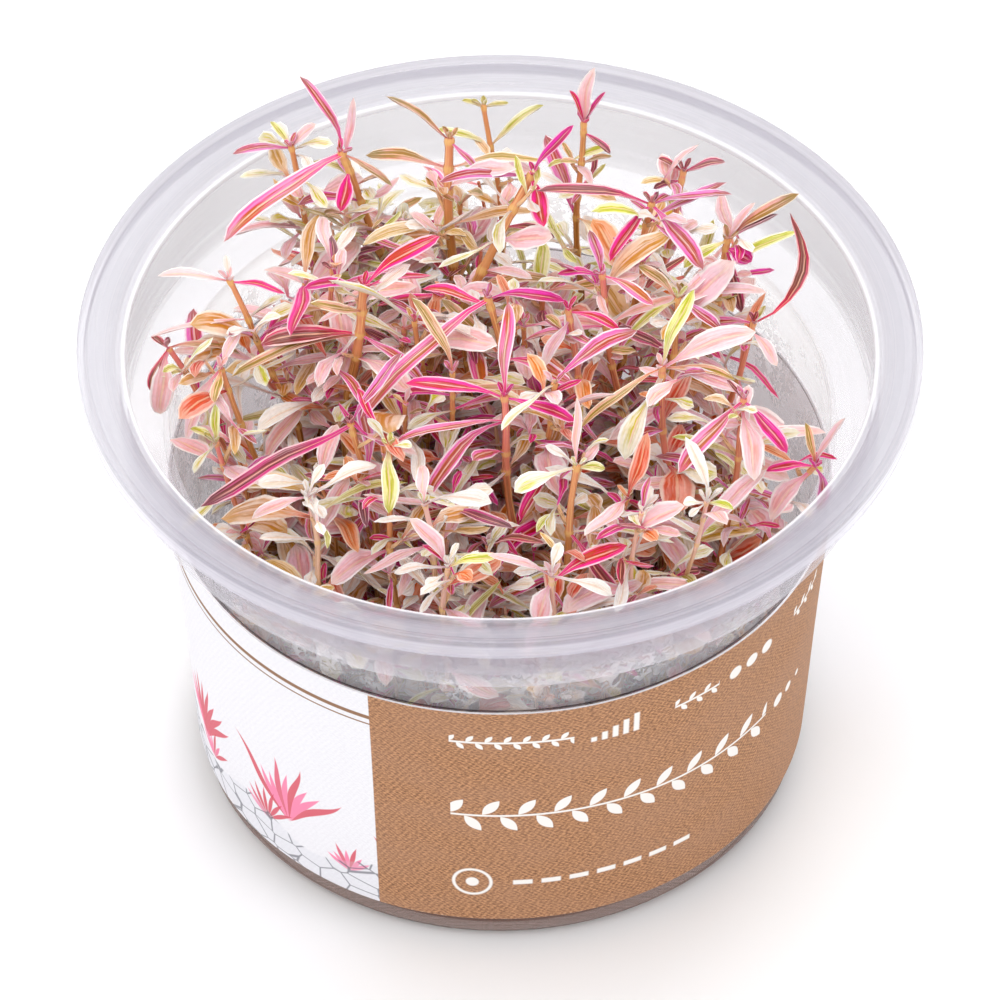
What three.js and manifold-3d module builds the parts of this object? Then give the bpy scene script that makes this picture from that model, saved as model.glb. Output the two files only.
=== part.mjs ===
// A see-through plastic cup of tissue culture Hygrophila lancea: the cup, its paper label, the jelly bed and
// the leafy shoots that stand in it. Millimetres, +Z up, origin at the middle of the cup's foot, label front to -Y.

import * as THREE from 'three';
import { mergeVertices } from 'three/addons/utils/BufferGeometryUtils.js';
import Module from 'manifold-3d';

const wasm = await Module();
wasm.setup();

// Cup
const RIM_RADIUS = 50;
const CUP_HEIGHT = 65;
const LIP_DEPTH = 2.6;
const LIP_THICKNESS = 0.8;
const FLANGE_DROP = 1.6;
const COLLAR_OUTSIDE = 45.1;
const COLLAR_INSIDE = 44.3;
const LEDGE_UNDERSIDE = 52.6;
const LEDGE_THICKNESS = 0.9;
const WALL = 0.7;
const BODY_TOP_RADIUS = 40.1;
const BODY_BOTTOM_RADIUS = 36.5;
const CORNER_HEIGHT = 1.6;
const FOOT_RADIUS = 35.3;
const FOOT_RING_WIDTH = 1.7;
const BASE_RECESS = 0.8;
const FLOOR_TOP = 1.7;
const AROUND = 40;

// Label
const LABEL_BOTTOM = 4.3;
const LABEL_TOP = 42.7;
const LABEL_THICKNESS = 0.25;
const LABEL_GAP_AT_BACK = 9;

// Jelly bed
const GEL_TOP = 13;
const TOUCH_GAP = 0.3;

// Shoots
const SHOOT_COUNT = 57;
const STEM_SIDES = 3;
const STEM_STEPS = 3;
const STEM_FOOT_RADIUS = 0.85;
const STEM_CROWN_RADIUS = 0.5;
const STEM_UPRIGHT = 0.62;
const STEM_CROWDING = 1.4;
const CROWN_DEPTH = 0.4;
const LEAF_KEEL = 0.45;
const LEAF_ARCH = 0.16;
const LEAF_TIP_CROWDING = 0.7;
const SHORT_LEAF = 6;
const BED_RADIUS = 33;
const FOOT_SPACING = 4.4;
const SPIRAL_TURNS = 78;
const GOLDEN_ANGLE = 137.508;
const POINT_SPACING = 0.7;
const CLEARANCE = 1.05;
const WALL_CLEARANCE = 0.5;

// The clear pocket inside the back of the collar, where a lid's rim or a finger goes in
const POCKET = { halfWidth: 6, near: 39.2, low: LEDGE_UNDERSIDE + LEDGE_THICKNESS };

// Shoots that show one by one. foot is where the stem leaves the jelly, crown its top, and each leaf is
// [down the stem from the crown, tip x, y, z from its joint, width, sideways bend, arch].
const SHOWN_SHOOTS = [
  { foot: [-8, 14], crown: [-19, 24, 73], leaves: [
    [0, -5, 4, 9, 1.6, -0.1], [0, -14, -11, -4, 2.9], [0, 6, -4, -1.5, 1.7], [2, -1, -5, -2, 2.3], [1, 1, 5, 6, 1.5]] },
  { foot: [-20, 20], crown: [-25, 25, 73], leaves: [
    [0, -7, -1, 0, 2.1], [0, -2.5, 2, 2.5, 1.4], [0, 3, 1, 3, 2.2], [4, -7, 0, 0, 2], [4, 5, -4, -1, 1.9]] },
  { foot: [-21, -2], crown: [-32, 4, 71], leaves: [
    [0, -8.5, 0, 1, 1.9], [0, 6.5, -1, -1, 1.9], [0, -0.5, 1.5, 3, 1.1], [5, -11.5, -2, -1, 1.3], [5, 4, 4, 0, 1.7]] },
  { foot: [-19, -4], crown: [-16, 2, 72], leaves: [
    [0, 9, 4, 4.5, 2.5], [0, -7, 0, 0, 2], [0, 8, 1, 1, 1.9], [6, -11.5, -2, 0, 2.9], [6, -15, -5, -2.5, 2.2],
    [6, 8, -6, -3, 2.2]] },
  { foot: [-27, -4], crown: [-39.5, 1, 63], leaves: [
    [0, -2, 1, 1, 1.2], [0, -2.2, -3, -4, 1.2, 0, 0.3], [0, 8.6, -1, 0, 2.3, 0, 0.3], [0, -1, -4, -7, 3.4, 0, 0.3]] },
  { foot: [-26, -9], crown: [-33, -3, 63.5], leaves: [
    [0, -3.5, -5, -8, 3.6, 0, 0.3], [0, 0.5, -4, -2, 1.7], [0, 1.5, 4, 3, 1.7]] },
  { foot: [-28, -15], crown: [-33.5, -12, 60], leaves: [
    [0, -3, 0.5, 2, 1.7], [0, 0, 2, 4.5, 1.4], [0, -2.5, -4, -1, 1.7], [0, 1.5, 1, 1.2, 1]] },
  { foot: [-6, 10], crown: [-6, 22, 77], leaves: [
    [0, -7.5, 3, 4.5, 1.5], [0, 3.5, -4, -1.5, 1.4], [3, -10, 1.5, 0.5, 2.3], [3, 11.5, 0.5, 0.5, 2.5]] },
  { foot: [2, 20], crown: [-2, 29, 76], leaves: [
    [0, -2.6, 0.5, 0.7, 1], [0, 3, 0.5, 0.2, 1], [5, -6.5, 2, 1, 1.7], [5, 6.5, 2.5, 4.5, 2], [8, 4.5, 1, -1, 2.3]] },
  { foot: [9, 19], crown: [10, 27, 75], leaves: [
    [0, -1.7, 1, 4.7, 1], [0, 2.6, 1, 4.4, 1], [0, 1.3, 2, 7.4, 2.8], [1, 3.2, -3, -0.7, 1.6], [5, -2.6, 0, 0.4, 1],
    [5, 3.6, 0, 1.2, 1]] },
  { foot: [17, 16], crown: [22, 24, 70], leaves: [
    [0, -3, 1, 1.5, 1], [0, 5, 0, 1.7, 1.9], [1, -3.4, -1, -0.4, 1.2], [7, 3, -4, 0, 2]] },
  { foot: [13, 6], crown: [18, 13, 75], leaves: [
    [0, -13.5, 2, 2.4, 2.7], [0, -5, -7, -2.6, 2.5], [0, 9.5, 0, 1.7, 2.1], [0, 6, -8, -3, 2.7]] },
  { foot: [-15, -4], crown: [4, 16, 77], leaves: [
    [0, 5, 3.5, 5, 1.5], [0, -11, -1, 0, 2.3], [0, -0.5, -7, -2, 2.7], [9, 6, -3, 1, 2]] },
  { foot: [15, -1], crown: [12, 4, 72], leaves: [
    [0, -1.5, 3, 4.6, 1.7], [0, -5.3, 0, 0.3, 2], [0, 6, -4, -1, 2]] },
  { foot: [4, -4], crown: [-1.5, 1, 71], leaves: [
    [0, -15, -13, -7, 2.3, 0, 0.2], [0, 9, -1, -1, 2, 0, 0.25], [1, -8, 2, 1, 2.5]] },
  { foot: [11, -8], crown: [8, 0, 70], leaves: [
    [0, 6, -2, -1, 1.9], [0, -1, 4, 3, 1.7], [1, -3, -6, -2, 2]] },
  { foot: [-13, -17], crown: [-17.5, -14, 65], leaves: [
    [0, -17.5, -9.5, -4, 2.3, 0.12], [0, 6, 6, 6, 1.9], [1, 7, -4, -1, 2]] },
  { foot: [2, -18], crown: [0.5, -12, 67.5], leaves: [
    [0, -11.6, 1, 1.5, 2.3], [0, 8.3, -3, -1, 2.1], [0, 0.5, 8, 8, 2.1], [3, -8, -9, -6, 2.7, -0.2],
    [3, -13, -4, -2, 1.9]] },
  { foot: [6, -27], crown: [9, -20, 64], leaves: [
    [0, -7.3, -3, -1, 2.8], [0, 3.3, -0.5, 0.3, 1.5], [0, -3.7, 1, 2.7, 1.3], [0, 0, 5, 6.6, 1.3],
    [8, 12.5, -2, 0, 1.7], [8, 9, -9, -6, 2.5]] },
  { foot: [-12, -27], crown: [-13, -18, 65.5], leaves: [
    [0, 0, -8, -3, 2.5], [0, 2.8, 0, 0.4, 1.5], [0, -2.5, 2, 2.7, 1.9], [13, -9, 0, -2, 3.8], [13, 5, 3, 1, 2]] },
  { foot: [-7, -30], crown: [-6, -32, 59.5], leaves: [
    [0, -6.3, 0, -1, 2], [0, 5.6, 0.6, 1, 1.9], [0, 1.3, 1, 3, 1.3], [0, -4.5, 3, 5, 3], [1, -2.5, -1.5, -1, 1.7]] },
  { foot: [6, -32], crown: [6, -33, 59], leaves: [
    [0, -7.2, 2, 2.7, 1.9], [0, 1, 2, 3.7, 1.7], [0, 7, -2, -1, 2.1], [1, -1.5, -1.5, -5, 3.4], [1, 8.8, 4, 2, 3]] },
  { foot: [14, -29], crown: [16.5, -27, 63.5], leaves: [
    [0, 2, 1, 2, 1.5], [0, -2.4, 0, -0.6, 1.3], [0, 1, 2, 4, 1.1]] },
  { foot: [21, -24], crown: [24, -26, 64], leaves: [
    [0, -2.7, 0, 0, 1.9], [0, 3.2, 0, -1, 1.7], [0, 2, 1, 1.5, 1], [0, -2, -1.5, -0.7, 1]] },
  { foot: [26, -18], crown: [28.5, -13, 68], leaves: [
    [0, -7.7, -9, -3, 2.7], [0, 5, -6, -2.7, 2.3], [0, -2, 1, 2.5, 1], [1, 1.2, -7, -5.5, 3.4]] },
  { foot: [28, -12], crown: [37, -17, 61], leaves: [
    [0, -6.3, 1, 1.2, 2.1], [0, -1.5, 3, 4.5, 1.3], [0, 3.5, 2, 6, 1.7], [0, 0.5, -2.5, -5, 2, 0.3],
    [1, -4.8, -4, -4, 3.8]] },
  { foot: [23, 5], crown: [27, 11, 71], leaves: [
    [0, 8.5, 3.5, 4.4, 2.1], [0, 6, 1.5, 3, 1.4], [0, 3.3, 2.4, 4, 1.6], [0, -5.2, -3, -1.5, 2.1], [1, 1.8, -5, -5.7, 2],
    [1, 3, -2, -0.3, 2.8]] },
  { foot: [25, 0], crown: [30, 2, 66], leaves: [
    [0, 4.3, 8, 10.5, 2.1, -0.47, -0.33], [0, 1.5, 1, 2, 1.4], [0, -6, 2, -1, 2], [1, 3, -4, -2, 2]] },
  { foot: [20, -14], crown: [19, -8, 68.5], leaves: [
    [0, 11, 3, 3, 3.9], [0, 3.7, 5, 8, 2], [0, 8.6, -1, -1, 2], [0, 9, -4, -1.5, 2.6], [0, -9.6, -6, -4, 1.7],
    [1, -4.5, -9, -5, 3.7]] },
  { foot: [-20, -23], crown: [-22.5, -22, 61], leaves: [
    [0, 8.5, 2, 2, 3.1], [0, 2, 2, 3.5, 1.5], [0, 2, -2.5, -1, 1.7], [0, -6.5, -2, -1.5, 2.3]] },
  { foot: [19, -4], crown: [21, 3, 69], leaves: [
    [0, -5.7, -4, -1.7, 1.9], [0, -5, 3, 2, 1.9], [0, 4, 3, 3, 1.7], [0, 5, -4, -1, 1.9]] },
];

// Ways a leaf gives way to its neighbours, best first: [turn, lift in degrees, share of its length]
const LEAF_CHOICES = [
  [0, 0, 1], [9, 0, 1], [-9, 0, 1], [0, 10, 1], [0, -10, 1], [18, 8, 1], [-18, 8, 1], [18, -9, 0.9], [-18, -9, 0.9],
  [0, 0, 0.8], [32, 0, 0.85], [-32, 0, 0.85], [0, 24, 0.8], [45, 15, 0.7], [-45, 15, 0.7], [0, 35, 0.5],
];

// Ways a stem's foot gives way, in millimetres
const FOOT_CHOICES = [[0, 0], [2, 0], [-2, 0], [0, 2], [0, -2], [3, 3], [-3, 3], [3, -3], [-3, -3], [5, 0], [-5, 0]];

const radians = THREE.MathUtils.degToRad;
const up = new THREE.Vector3(0, 0, 1);

// Even draws that every run repeats
const DRAW_STEP = 16807;
const DRAW_CYCLE = 2147483647;
let drawState = 1;
function draw(low, high) {
  drawState = (drawState * DRAW_STEP) % DRAW_CYCLE;
  return low + ((high - low) * drawState) / DRAW_CYCLE;
}

function toSolid(geometry) {
  const shape = geometry.clone();
  shape.deleteAttribute('normal');
  shape.deleteAttribute('uv');
  const merged = mergeVertices(shape);
  return new wasm.Manifold(new wasm.Mesh({
    numProp: 3,
    vertProperties: new Float32Array(merged.attributes.position.array),
    triVerts: new Uint32Array(merged.index.array),
  }));
}

function toGeometry(solid) {
  const { vertProperties, triVerts } = solid.getMesh();
  const geometry = new THREE.BufferGeometry();
  geometry.setAttribute('position', new THREE.BufferAttribute(vertProperties, 3));
  geometry.setIndex(new THREE.BufferAttribute(triVerts, 1));
  geometry.computeVertexNormals();
  return geometry;
}

// A turned shape: the profile is radius and height, and the axis stands upright
function turned(profile) {
  const points = profile.map(([radius, height]) => new THREE.Vector2(radius, height));
  return new THREE.LatheGeometry(points, AROUND).rotateX(Math.PI / 2);
}

// The body's outer radius at a height: its wall is a straight cone
function bodyRadius(height) {
  const share = (height - CORNER_HEIGHT) / (LEDGE_UNDERSIDE - CORNER_HEIGHT);
  return BODY_BOTTOM_RADIUS + (BODY_TOP_RADIUS - BODY_BOTTOM_RADIUS) * share;
}

function cupGeometry() {
  const ledgeTop = LEDGE_UNDERSIDE + LEDGE_THICKNESS;
  const flangeInner = CUP_HEIGHT - FLANGE_DROP;
  const lipFoot = CUP_HEIGHT - LIP_DEPTH;
  return turned([
    [0, BASE_RECESS],
    [FOOT_RADIUS - FOOT_RING_WIDTH - BASE_RECESS, BASE_RECESS],
    [FOOT_RADIUS - FOOT_RING_WIDTH, 0],
    [FOOT_RADIUS, 0],
    [BODY_BOTTOM_RADIUS, CORNER_HEIGHT],
    [BODY_TOP_RADIUS, LEDGE_UNDERSIDE],
    [COLLAR_OUTSIDE, LEDGE_UNDERSIDE],
    [COLLAR_OUTSIDE, flangeInner - WALL],
    [RIM_RADIUS - LIP_THICKNESS, CUP_HEIGHT - LIP_THICKNESS],
    [RIM_RADIUS - LIP_THICKNESS, lipFoot],
    [RIM_RADIUS, lipFoot],
    [RIM_RADIUS, CUP_HEIGHT - 0.4],
    [RIM_RADIUS - 0.4, CUP_HEIGHT],
    [COLLAR_INSIDE, flangeInner],
    [COLLAR_INSIDE, ledgeTop],
    [BODY_TOP_RADIUS - WALL, ledgeTop],
    [BODY_BOTTOM_RADIUS - WALL, FLOOR_TOP + CORNER_HEIGHT],
    [BODY_BOTTOM_RADIUS - WALL - CORNER_HEIGHT, FLOOR_TOP],
    [0, FLOOR_TOP],
  ]);
}

// The paper band follows the body's cone, and its two ends leave a gap at the back
function labelGeometry() {
  const inside = (height) => bodyRadius(height) + TOUCH_GAP;
  const band = turned([
    [inside(LABEL_BOTTOM), LABEL_BOTTOM],
    [inside(LABEL_BOTTOM) + LABEL_THICKNESS, LABEL_BOTTOM],
    [inside(LABEL_TOP) + LABEL_THICKNESS, LABEL_TOP],
    [inside(LABEL_TOP), LABEL_TOP],
    [inside(LABEL_BOTTOM), LABEL_BOTTOM],
  ]);
  const cutter = new THREE.BoxGeometry(LABEL_GAP_AT_BACK, RIM_RADIUS, CUP_HEIGHT * 2);
  cutter.translate(0, RIM_RADIUS, 0);
  return toGeometry(toSolid(band).subtract(toSolid(cutter)));
}

function gelGeometry() {
  const bottom = FLOOR_TOP + TOUCH_GAP;
  const cornerTop = FLOOR_TOP + CORNER_HEIGHT;
  const inset = WALL + TOUCH_GAP * 1.5;
  return turned([
    [0, bottom],
    [BODY_BOTTOM_RADIUS - inset - CORNER_HEIGHT, bottom],
    [BODY_BOTTOM_RADIUS - inset, cornerTop],
    [bodyRadius(GEL_TOP) - inset, GEL_TOP],
    [0, GEL_TOP],
  ]);
}

// Moves every corner of a geometry to where place puts it
function reshape(geometry, place) {
  const position = geometry.attributes.position;
  const corner = new THREE.Vector3();
  for (let index = 0; index < position.count; index += 1) {
    corner.fromBufferAttribute(position, index);
    const moved = place(corner);
    position.setXYZ(index, moved.x, moved.y, moved.z);
  }
  return geometry;
}

// A stem rises straight out of the jelly and then leans to its crown
function stemCurve(foot, crown) {
  const start = new THREE.Vector3(foot[0], foot[1], GEL_TOP + TOUCH_GAP);
  const end = new THREE.Vector3(...crown);
  const middle = new THREE.Vector3(foot[0], foot[1], start.z + (end.z - start.z) * STEM_UPRIGHT);
  return new THREE.QuadraticBezierCurve3(start, middle, end);
}

// The stem's straight lengths get shorter towards its crown
function stemShare(step) {
  return 1 - (1 - step / STEM_STEPS) ** STEM_CROWDING;
}

// The point on the stem's axis that lies this far below its crown
function stemJoint(curve, down) {
  const height = curve.v2.z - down;
  for (let step = STEM_STEPS; step > 0; step -= 1) {
    const above = curve.getPoint(stemShare(step));
    const below = curve.getPoint(stemShare(step - 1));
    if (height >= below.z) return below.lerp(above, (height - below.z) / (above.z - below.z));
  }
  return curve.v0.clone();
}

function stemGeometry(curve) {
  const rod = new THREE.CylinderGeometry(1, 1, 1, STEM_SIDES, STEM_STEPS);
  return reshape(rod, (corner) => {
    const share = stemShare((corner.y + 0.5) * STEM_STEPS);
    const forward = curve.getTangent(share);
    const side = new THREE.Vector3(0, 1, 0).cross(forward).normalize();
    const front = forward.clone().cross(side);
    const radius = STEM_FOOT_RADIUS + (STEM_CROWN_RADIUS - STEM_FOOT_RADIUS) * share;
    return curve.getPoint(share)
      .addScaledVector(front, corner.x * radius)
      .addScaledVector(side, corner.z * radius);
  });
}

// A leaf's midrib: it leaves the stem, arches, and bends a little to one side
function leafCurve(joint, leaf, choice) {
  const azimuth = leaf.azimuth + radians(choice[0]);
  const rise = leaf.rise + radians(choice[1]);
  const length = leaf.length * choice[2];
  const outward = new THREE.Vector3(Math.cos(azimuth), Math.sin(azimuth), 0);
  const side = new THREE.Vector3(-outward.y, outward.x, 0);
  const along = outward.clone().multiplyScalar(Math.cos(rise)).addScaledVector(up, Math.sin(rise));
  const above = up.clone().multiplyScalar(Math.cos(rise)).addScaledVector(outward, -Math.sin(rise));
  const tip = joint.clone().addScaledVector(along, length);
  const control = joint.clone()
    .addScaledVector(along, length * 0.45)
    .addScaledVector(above, length * leaf.arch)
    .addScaledVector(side, length * leaf.bend);
  return { curve: new THREE.QuadraticBezierCurve3(joint, control, tip), side };
}

// A leaf is a three-sided spindle: two edges and a keel under the midrib
function leafGeometry({ curve, side }, leaf) {
  const spindle = new THREE.SphereGeometry(1, 3, leaf.steps);
  return reshape(spindle, (corner) => {
    const share = ((corner.y + 1) / 2) ** LEAF_TIP_CROWDING;
    const ring = Math.max(Math.hypot(corner.x, corner.z), 1e-9);
    const pole = ring < 0.01;
    const edge = pole ? 0 : corner.z / ring / Math.sin(radians(60));
    const keel = pole ? 0 : (0.5 - corner.x / ring) / 1.5;
    const normal = curve.getTangent(share).cross(side).normalize();
    return curve.getPoint(share)
      .addScaledVector(side, (edge * leaf.width) / 2)
      .addScaledVector(normal, -keel * LEAF_KEEL);
  });
}

// Points on a geometry's faces, close enough together that nothing passes between them
function surfacePoints(geometry) {
  const { position } = geometry.attributes;
  const points = [];
  for (let face = 0; face < geometry.index.count; face += 3) {
    const [a, b, c] = [0, 1, 2].map((corner) => (
      new THREE.Vector3().fromBufferAttribute(position, geometry.index.getX(face + corner))
    ));
    const steps = Math.max(1, Math.ceil(Math.max(a.distanceTo(b), b.distanceTo(c), c.distanceTo(a)) / POINT_SPACING));
    for (let i = 0; i <= steps; i += 1) {
      for (let j = 0; j <= steps - i; j += 1) {
        const point = a.clone().multiplyScalar(1 - (i + j) / steps);
        points.push(point.addScaledVector(b, i / steps).addScaledVector(c, j / steps));
      }
    }
  }
  return points;
}

// The clear radius inside the cup at a height
function roomAt(height) {
  if (height > CUP_HEIGHT + WALL_CLEARANCE) return RIM_RADIUS - 1;
  if (height > POCKET.low + WALL_CLEARANCE) return COLLAR_INSIDE - WALL_CLEARANCE;
  return bodyRadius(Math.min(height, LEDGE_UNDERSIDE) - 1) - WALL - WALL_CLEARANCE;
}

function insideCup(point) {
  const inPocket = Math.abs(point.x) < POCKET.halfWidth && point.y > POCKET.near && point.z > POCKET.low;
  const aboveJelly = point.z > GEL_TOP + TOUCH_GAP - 0.01;
  return aboveJelly && !inPocket && Math.hypot(point.x, point.y) < roomAt(point.z);
}

// Where every placed stem and leaf is, in cells of the clearance's size
const takenCells = new Map();
function cellKey(x, y, z) {
  const span = 256;
  return ((x + span / 2) * span + (y + span / 2)) * span + z;
}

function claim(points, owner) {
  points.forEach((point) => {
    const key = cellKey(...point.toArray().map((value) => Math.floor(value / CLEARANCE)));
    if (!takenCells.has(key)) takenCells.set(key, []);
    takenCells.get(key).push({ point, owner });
  });
}

function isClear(points, owner) {
  return points.every((point) => {
    if (!insideCup(point)) return false;
    const [x, y, z] = point.toArray().map((value) => Math.floor(value / CLEARANCE));
    for (let i = x - 1; i <= x + 1; i += 1) {
      for (let j = y - 1; j <= y + 1; j += 1) {
        for (let k = z - 1; k <= z + 1; k += 1) {
          const near = takenCells.get(cellKey(i, j, k)) ?? [];
          if (near.some((other) => other.owner !== owner && other.point.distanceTo(point) < CLEARANCE)) return false;
        }
      }
    }
    return true;
  });
}

// The shoots between the shown ones: feet on a sunflower spiral, crowns under the dome of the canopy
function fillingShoots(count) {
  const feet = SHOWN_SHOOTS.map((shoot) => shoot.foot);
  const shoots = [];
  for (let turn = 0; turn < SPIRAL_TURNS && shoots.length < count; turn += 1) {
    const radius = BED_RADIUS * Math.sqrt((turn + 0.5) / SPIRAL_TURNS);
    const angle = radians(turn * GOLDEN_ANGLE);
    const foot = [radius * Math.cos(angle), radius * Math.sin(angle)];
    if (feet.every((other) => Math.hypot(other[0] - foot[0], other[1] - foot[1]) > FOOT_SPACING)) {
      drawState = turn * 7919 + 17;
      const dome = 75 + 0.08 * foot[1] - 0.01 * radius * radius;
      const crown = [foot[0] * 1.1 + draw(-3, 3), foot[1] * 1.1 + draw(-3, 3), dome - draw(1, 15)];
      feet.push(foot);
      shoots.push({ foot, crown, leaves: [] });
    }
  }
  return shoots;
}

// A leaf from a shown shoot's own list
function listedLeaf([down, x, y, z, width, bend = 0, arch = LEAF_ARCH]) {
  const flat = Math.hypot(x, y);
  return {
    down, width, bend, arch, steps: Math.hypot(flat, z) < SHORT_LEAF ? 2 : 3,
    azimuth: Math.atan2(y, x), rise: Math.atan2(z, flat), length: Math.hypot(flat, z),
  };
}

// A pair of opposite leaves, each pair a quarter turn round from the one above
function leafPair(down, azimuth, steps, size) {
  return [0, Math.PI].map((half) => ({
    down, steps,
    azimuth: azimuth + half + radians(draw(-15, 15)),
    rise: radians(draw(-12, 38)),
    length: size * draw(7, 12.5),
    width: draw(1.8, 3.1),
    bend: draw(-0.12, 0.12),
    arch: draw(0.08, 0.24),
  }));
}

function leafPlan(shoot, index) {
  drawState = (index + 1) * 104729;
  const leaves = shoot.leaves.map(listedLeaf);
  const turnOfTop = draw(0, Math.PI);
  const listed = leaves.length > 0;
  if (!listed) leaves.push(...leafPair(0, turnOfTop, 3, 1.05));
  const first = listed ? Math.max(...leaves.map((leaf) => leaf.down)) + 7 : 6;
  leaves.push(...leafPair(first, turnOfTop + Math.PI / 2, 2, 1));
  if (!listed) leaves.push(...leafPair(first + 8, turnOfTop, 2, 0.85));
  return leaves;
}

// Places one shoot's stem at the first clear foot
function placeStem(shoot, owner) {
  for (const [x, y] of FOOT_CHOICES) {
    const curve = stemCurve([shoot.foot[0] + x, shoot.foot[1] + y], shoot.crown);
    const geometry = stemGeometry(curve);
    const points = surfacePoints(geometry);
    if (isClear(points, owner)) {
      claim(points, owner);
      return { curve, solid: toSolid(geometry) };
    }
  }
  return null;
}

// Adds a leaf to its stem in the first clear way, or leaves it out
function placeLeaf(stem, leaf, owner) {
  const joint = stemJoint(stem.curve, leaf.down + CROWN_DEPTH);
  for (const choice of LEAF_CHOICES) {
    const geometry = leafGeometry(leafCurve(joint, leaf, choice), leaf);
    const points = surfacePoints(geometry);
    if (isClear(points, owner)) {
      claim(points, owner);
      stem.solid = stem.solid.add(toSolid(geometry));
      return;
    }
  }
}

function plantShoots() {
  const shoots = [...SHOWN_SHOOTS, ...fillingShoots(SHOOT_COUNT - SHOWN_SHOOTS.length)];
  const stems = shoots.map((shoot, index) => placeStem(shoot, index));
  const plans = shoots.map((shoot, index) => leafPlan(shoot, index));
  plans.forEach((plan, index) => {
    if (stems[index]) plan.forEach((leaf) => placeLeaf(stems[index], leaf, index));
  });
  return stems.filter(Boolean).map((stem) => toGeometry(stem.solid));
}

const milkyPlastic = new THREE.MeshStandardMaterial({
  color: '#e3e1e8', roughness: 0.35, metalness: 0, transparent: true, opacity: 0.45,
});
const printedPaper = new THREE.MeshStandardMaterial({ color: '#a88461', roughness: 0.8, metalness: 0 });
const jelly = new THREE.MeshStandardMaterial({ color: '#b9a58f', roughness: 0.25, metalness: 0 });
const pinkLeaf = new THREE.MeshStandardMaterial({ color: '#d9708f', roughness: 0.5, metalness: 0 });
const creamLeaf = new THREE.MeshStandardMaterial({ color: '#e6cdb4', roughness: 0.5, metalness: 0 });

const potted = new THREE.Group();
function addPiece(name, geometry, material) {
  const mesh = new THREE.Mesh(geometry, material);
  mesh.name = name;
  potted.add(mesh);
}

addPiece('cup', cupGeometry(), milkyPlastic);
addPiece('label', labelGeometry(), printedPaper);
addPiece('gel', gelGeometry(), jelly);
plantShoots().forEach((geometry, index) => {
  const name = `shoot_${String(index + 1).padStart(2, '0')}`;
  addPiece(name, geometry, index % 3 === 2 ? creamLeaf : pinkLeaf);
});

export default potted;
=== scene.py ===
# An open cup of aquarium plants raised in jelly: a milky see-through plastic cup with a paper label round
# it, the jelly bed, the pink and cream shoots that root in it, and the young growth that fills the space
# below their leaves. Metres, +Z up. The cup's foot is centred on the floor and the label's front faces -Y.

import math
import random

import bmesh
import bpy
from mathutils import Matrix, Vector
from mathutils.kdtree import KDTree


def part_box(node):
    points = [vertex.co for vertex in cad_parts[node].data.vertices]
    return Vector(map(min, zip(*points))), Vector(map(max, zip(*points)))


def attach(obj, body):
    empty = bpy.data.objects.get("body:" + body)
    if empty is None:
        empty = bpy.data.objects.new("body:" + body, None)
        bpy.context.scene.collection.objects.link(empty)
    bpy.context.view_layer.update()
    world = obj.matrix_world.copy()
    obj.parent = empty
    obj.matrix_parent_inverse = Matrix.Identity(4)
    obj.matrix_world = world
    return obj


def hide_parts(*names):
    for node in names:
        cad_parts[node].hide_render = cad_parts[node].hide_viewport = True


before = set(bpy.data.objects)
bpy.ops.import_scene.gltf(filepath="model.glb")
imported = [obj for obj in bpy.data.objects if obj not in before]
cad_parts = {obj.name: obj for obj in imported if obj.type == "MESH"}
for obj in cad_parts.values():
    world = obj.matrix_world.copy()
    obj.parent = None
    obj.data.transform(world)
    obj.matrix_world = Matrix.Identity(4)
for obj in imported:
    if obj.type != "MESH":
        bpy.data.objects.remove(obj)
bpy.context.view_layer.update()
MM = 0.001

# Cup
# One thin cup of milky polypropylene, moulded in a single shot. The body tapers so that empty cups stack, a
# ledge carries it out to the collar, and the flat flange with its turned-down lip is where a lid or film is
# sealed.
cup_low, cup_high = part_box("cup")
RIM_RADIUS = cup_high.x / MM
CUP_HEIGHT = cup_high.z / MM
LIP_DEPTH = 2.6
LIP_THICKNESS = 0.8
FLANGE_DROP = 1.6
COLLAR_OUTSIDE = 45.1
COLLAR_INSIDE = 44.3
LEDGE_UNDERSIDE = 52.6
LEDGE_THICKNESS = 0.9
WALL = 0.7
BODY_TOP_RADIUS = 40.1
BODY_BOTTOM_RADIUS = 36.5
CORNER_HEIGHT = 1.6
FOOT_RADIUS = 35.3
FOOT_RING_WIDTH = 1.7
BASE_RECESS = 0.8
FLOOR_TOP = 1.7
FLANGE_GROOVES = (48.7, 45.4)
GROOVE_HALF_WIDTH = 0.3
GROOVE_DEPTH = 0.1
COLLAR_BEAD = (56.5, 0.25)
CUP_STEPS = 144
CORNER_ROUNDING = 0.2
CORNER_SHARPNESS = 25
# In metres, as the shader sees them: where the jelly's colour fades out up the wall
JELLY_FADE = (0.0120, 0.0145)


def paint(red, green, blue):
    """A colour given in everyday 0 to 255 values, as the shaders want it."""
    def linear(value):
        share = value / 255
        return share / 12.92 if share <= 0.04045 else ((share + 0.055) / 1.055) ** 2.4
    return (linear(red), linear(green), linear(blue), 1)


def add_node(tree, kind, inputs=None, **settings):
    """Puts a node in a tree and gives its sockets values or links."""
    node = tree.nodes.new(kind)
    for name, value in settings.items():
        setattr(node, name, value)
    for name, value in (inputs or {}).items():
        if isinstance(value, bpy.types.NodeSocket):
            tree.links.new(value, node.inputs[name])
        else:
            node.inputs[name].default_value = value
    return node


def math_of(tree, operation, *values):
    return add_node(tree, "ShaderNodeMath", dict(enumerate(values)), operation=operation).outputs[0]


def times(tree, first, second):
    return math_of(tree, "MULTIPLY", first, second)


def times_plus(tree, value, factor, offset):
    return math_of(tree, "MULTIPLY_ADD", value, factor, offset)


def plus(tree, first, second):
    return math_of(tree, "ADD", first, second)


def minus(tree, first, second):
    return math_of(tree, "SUBTRACT", first, second)


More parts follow.
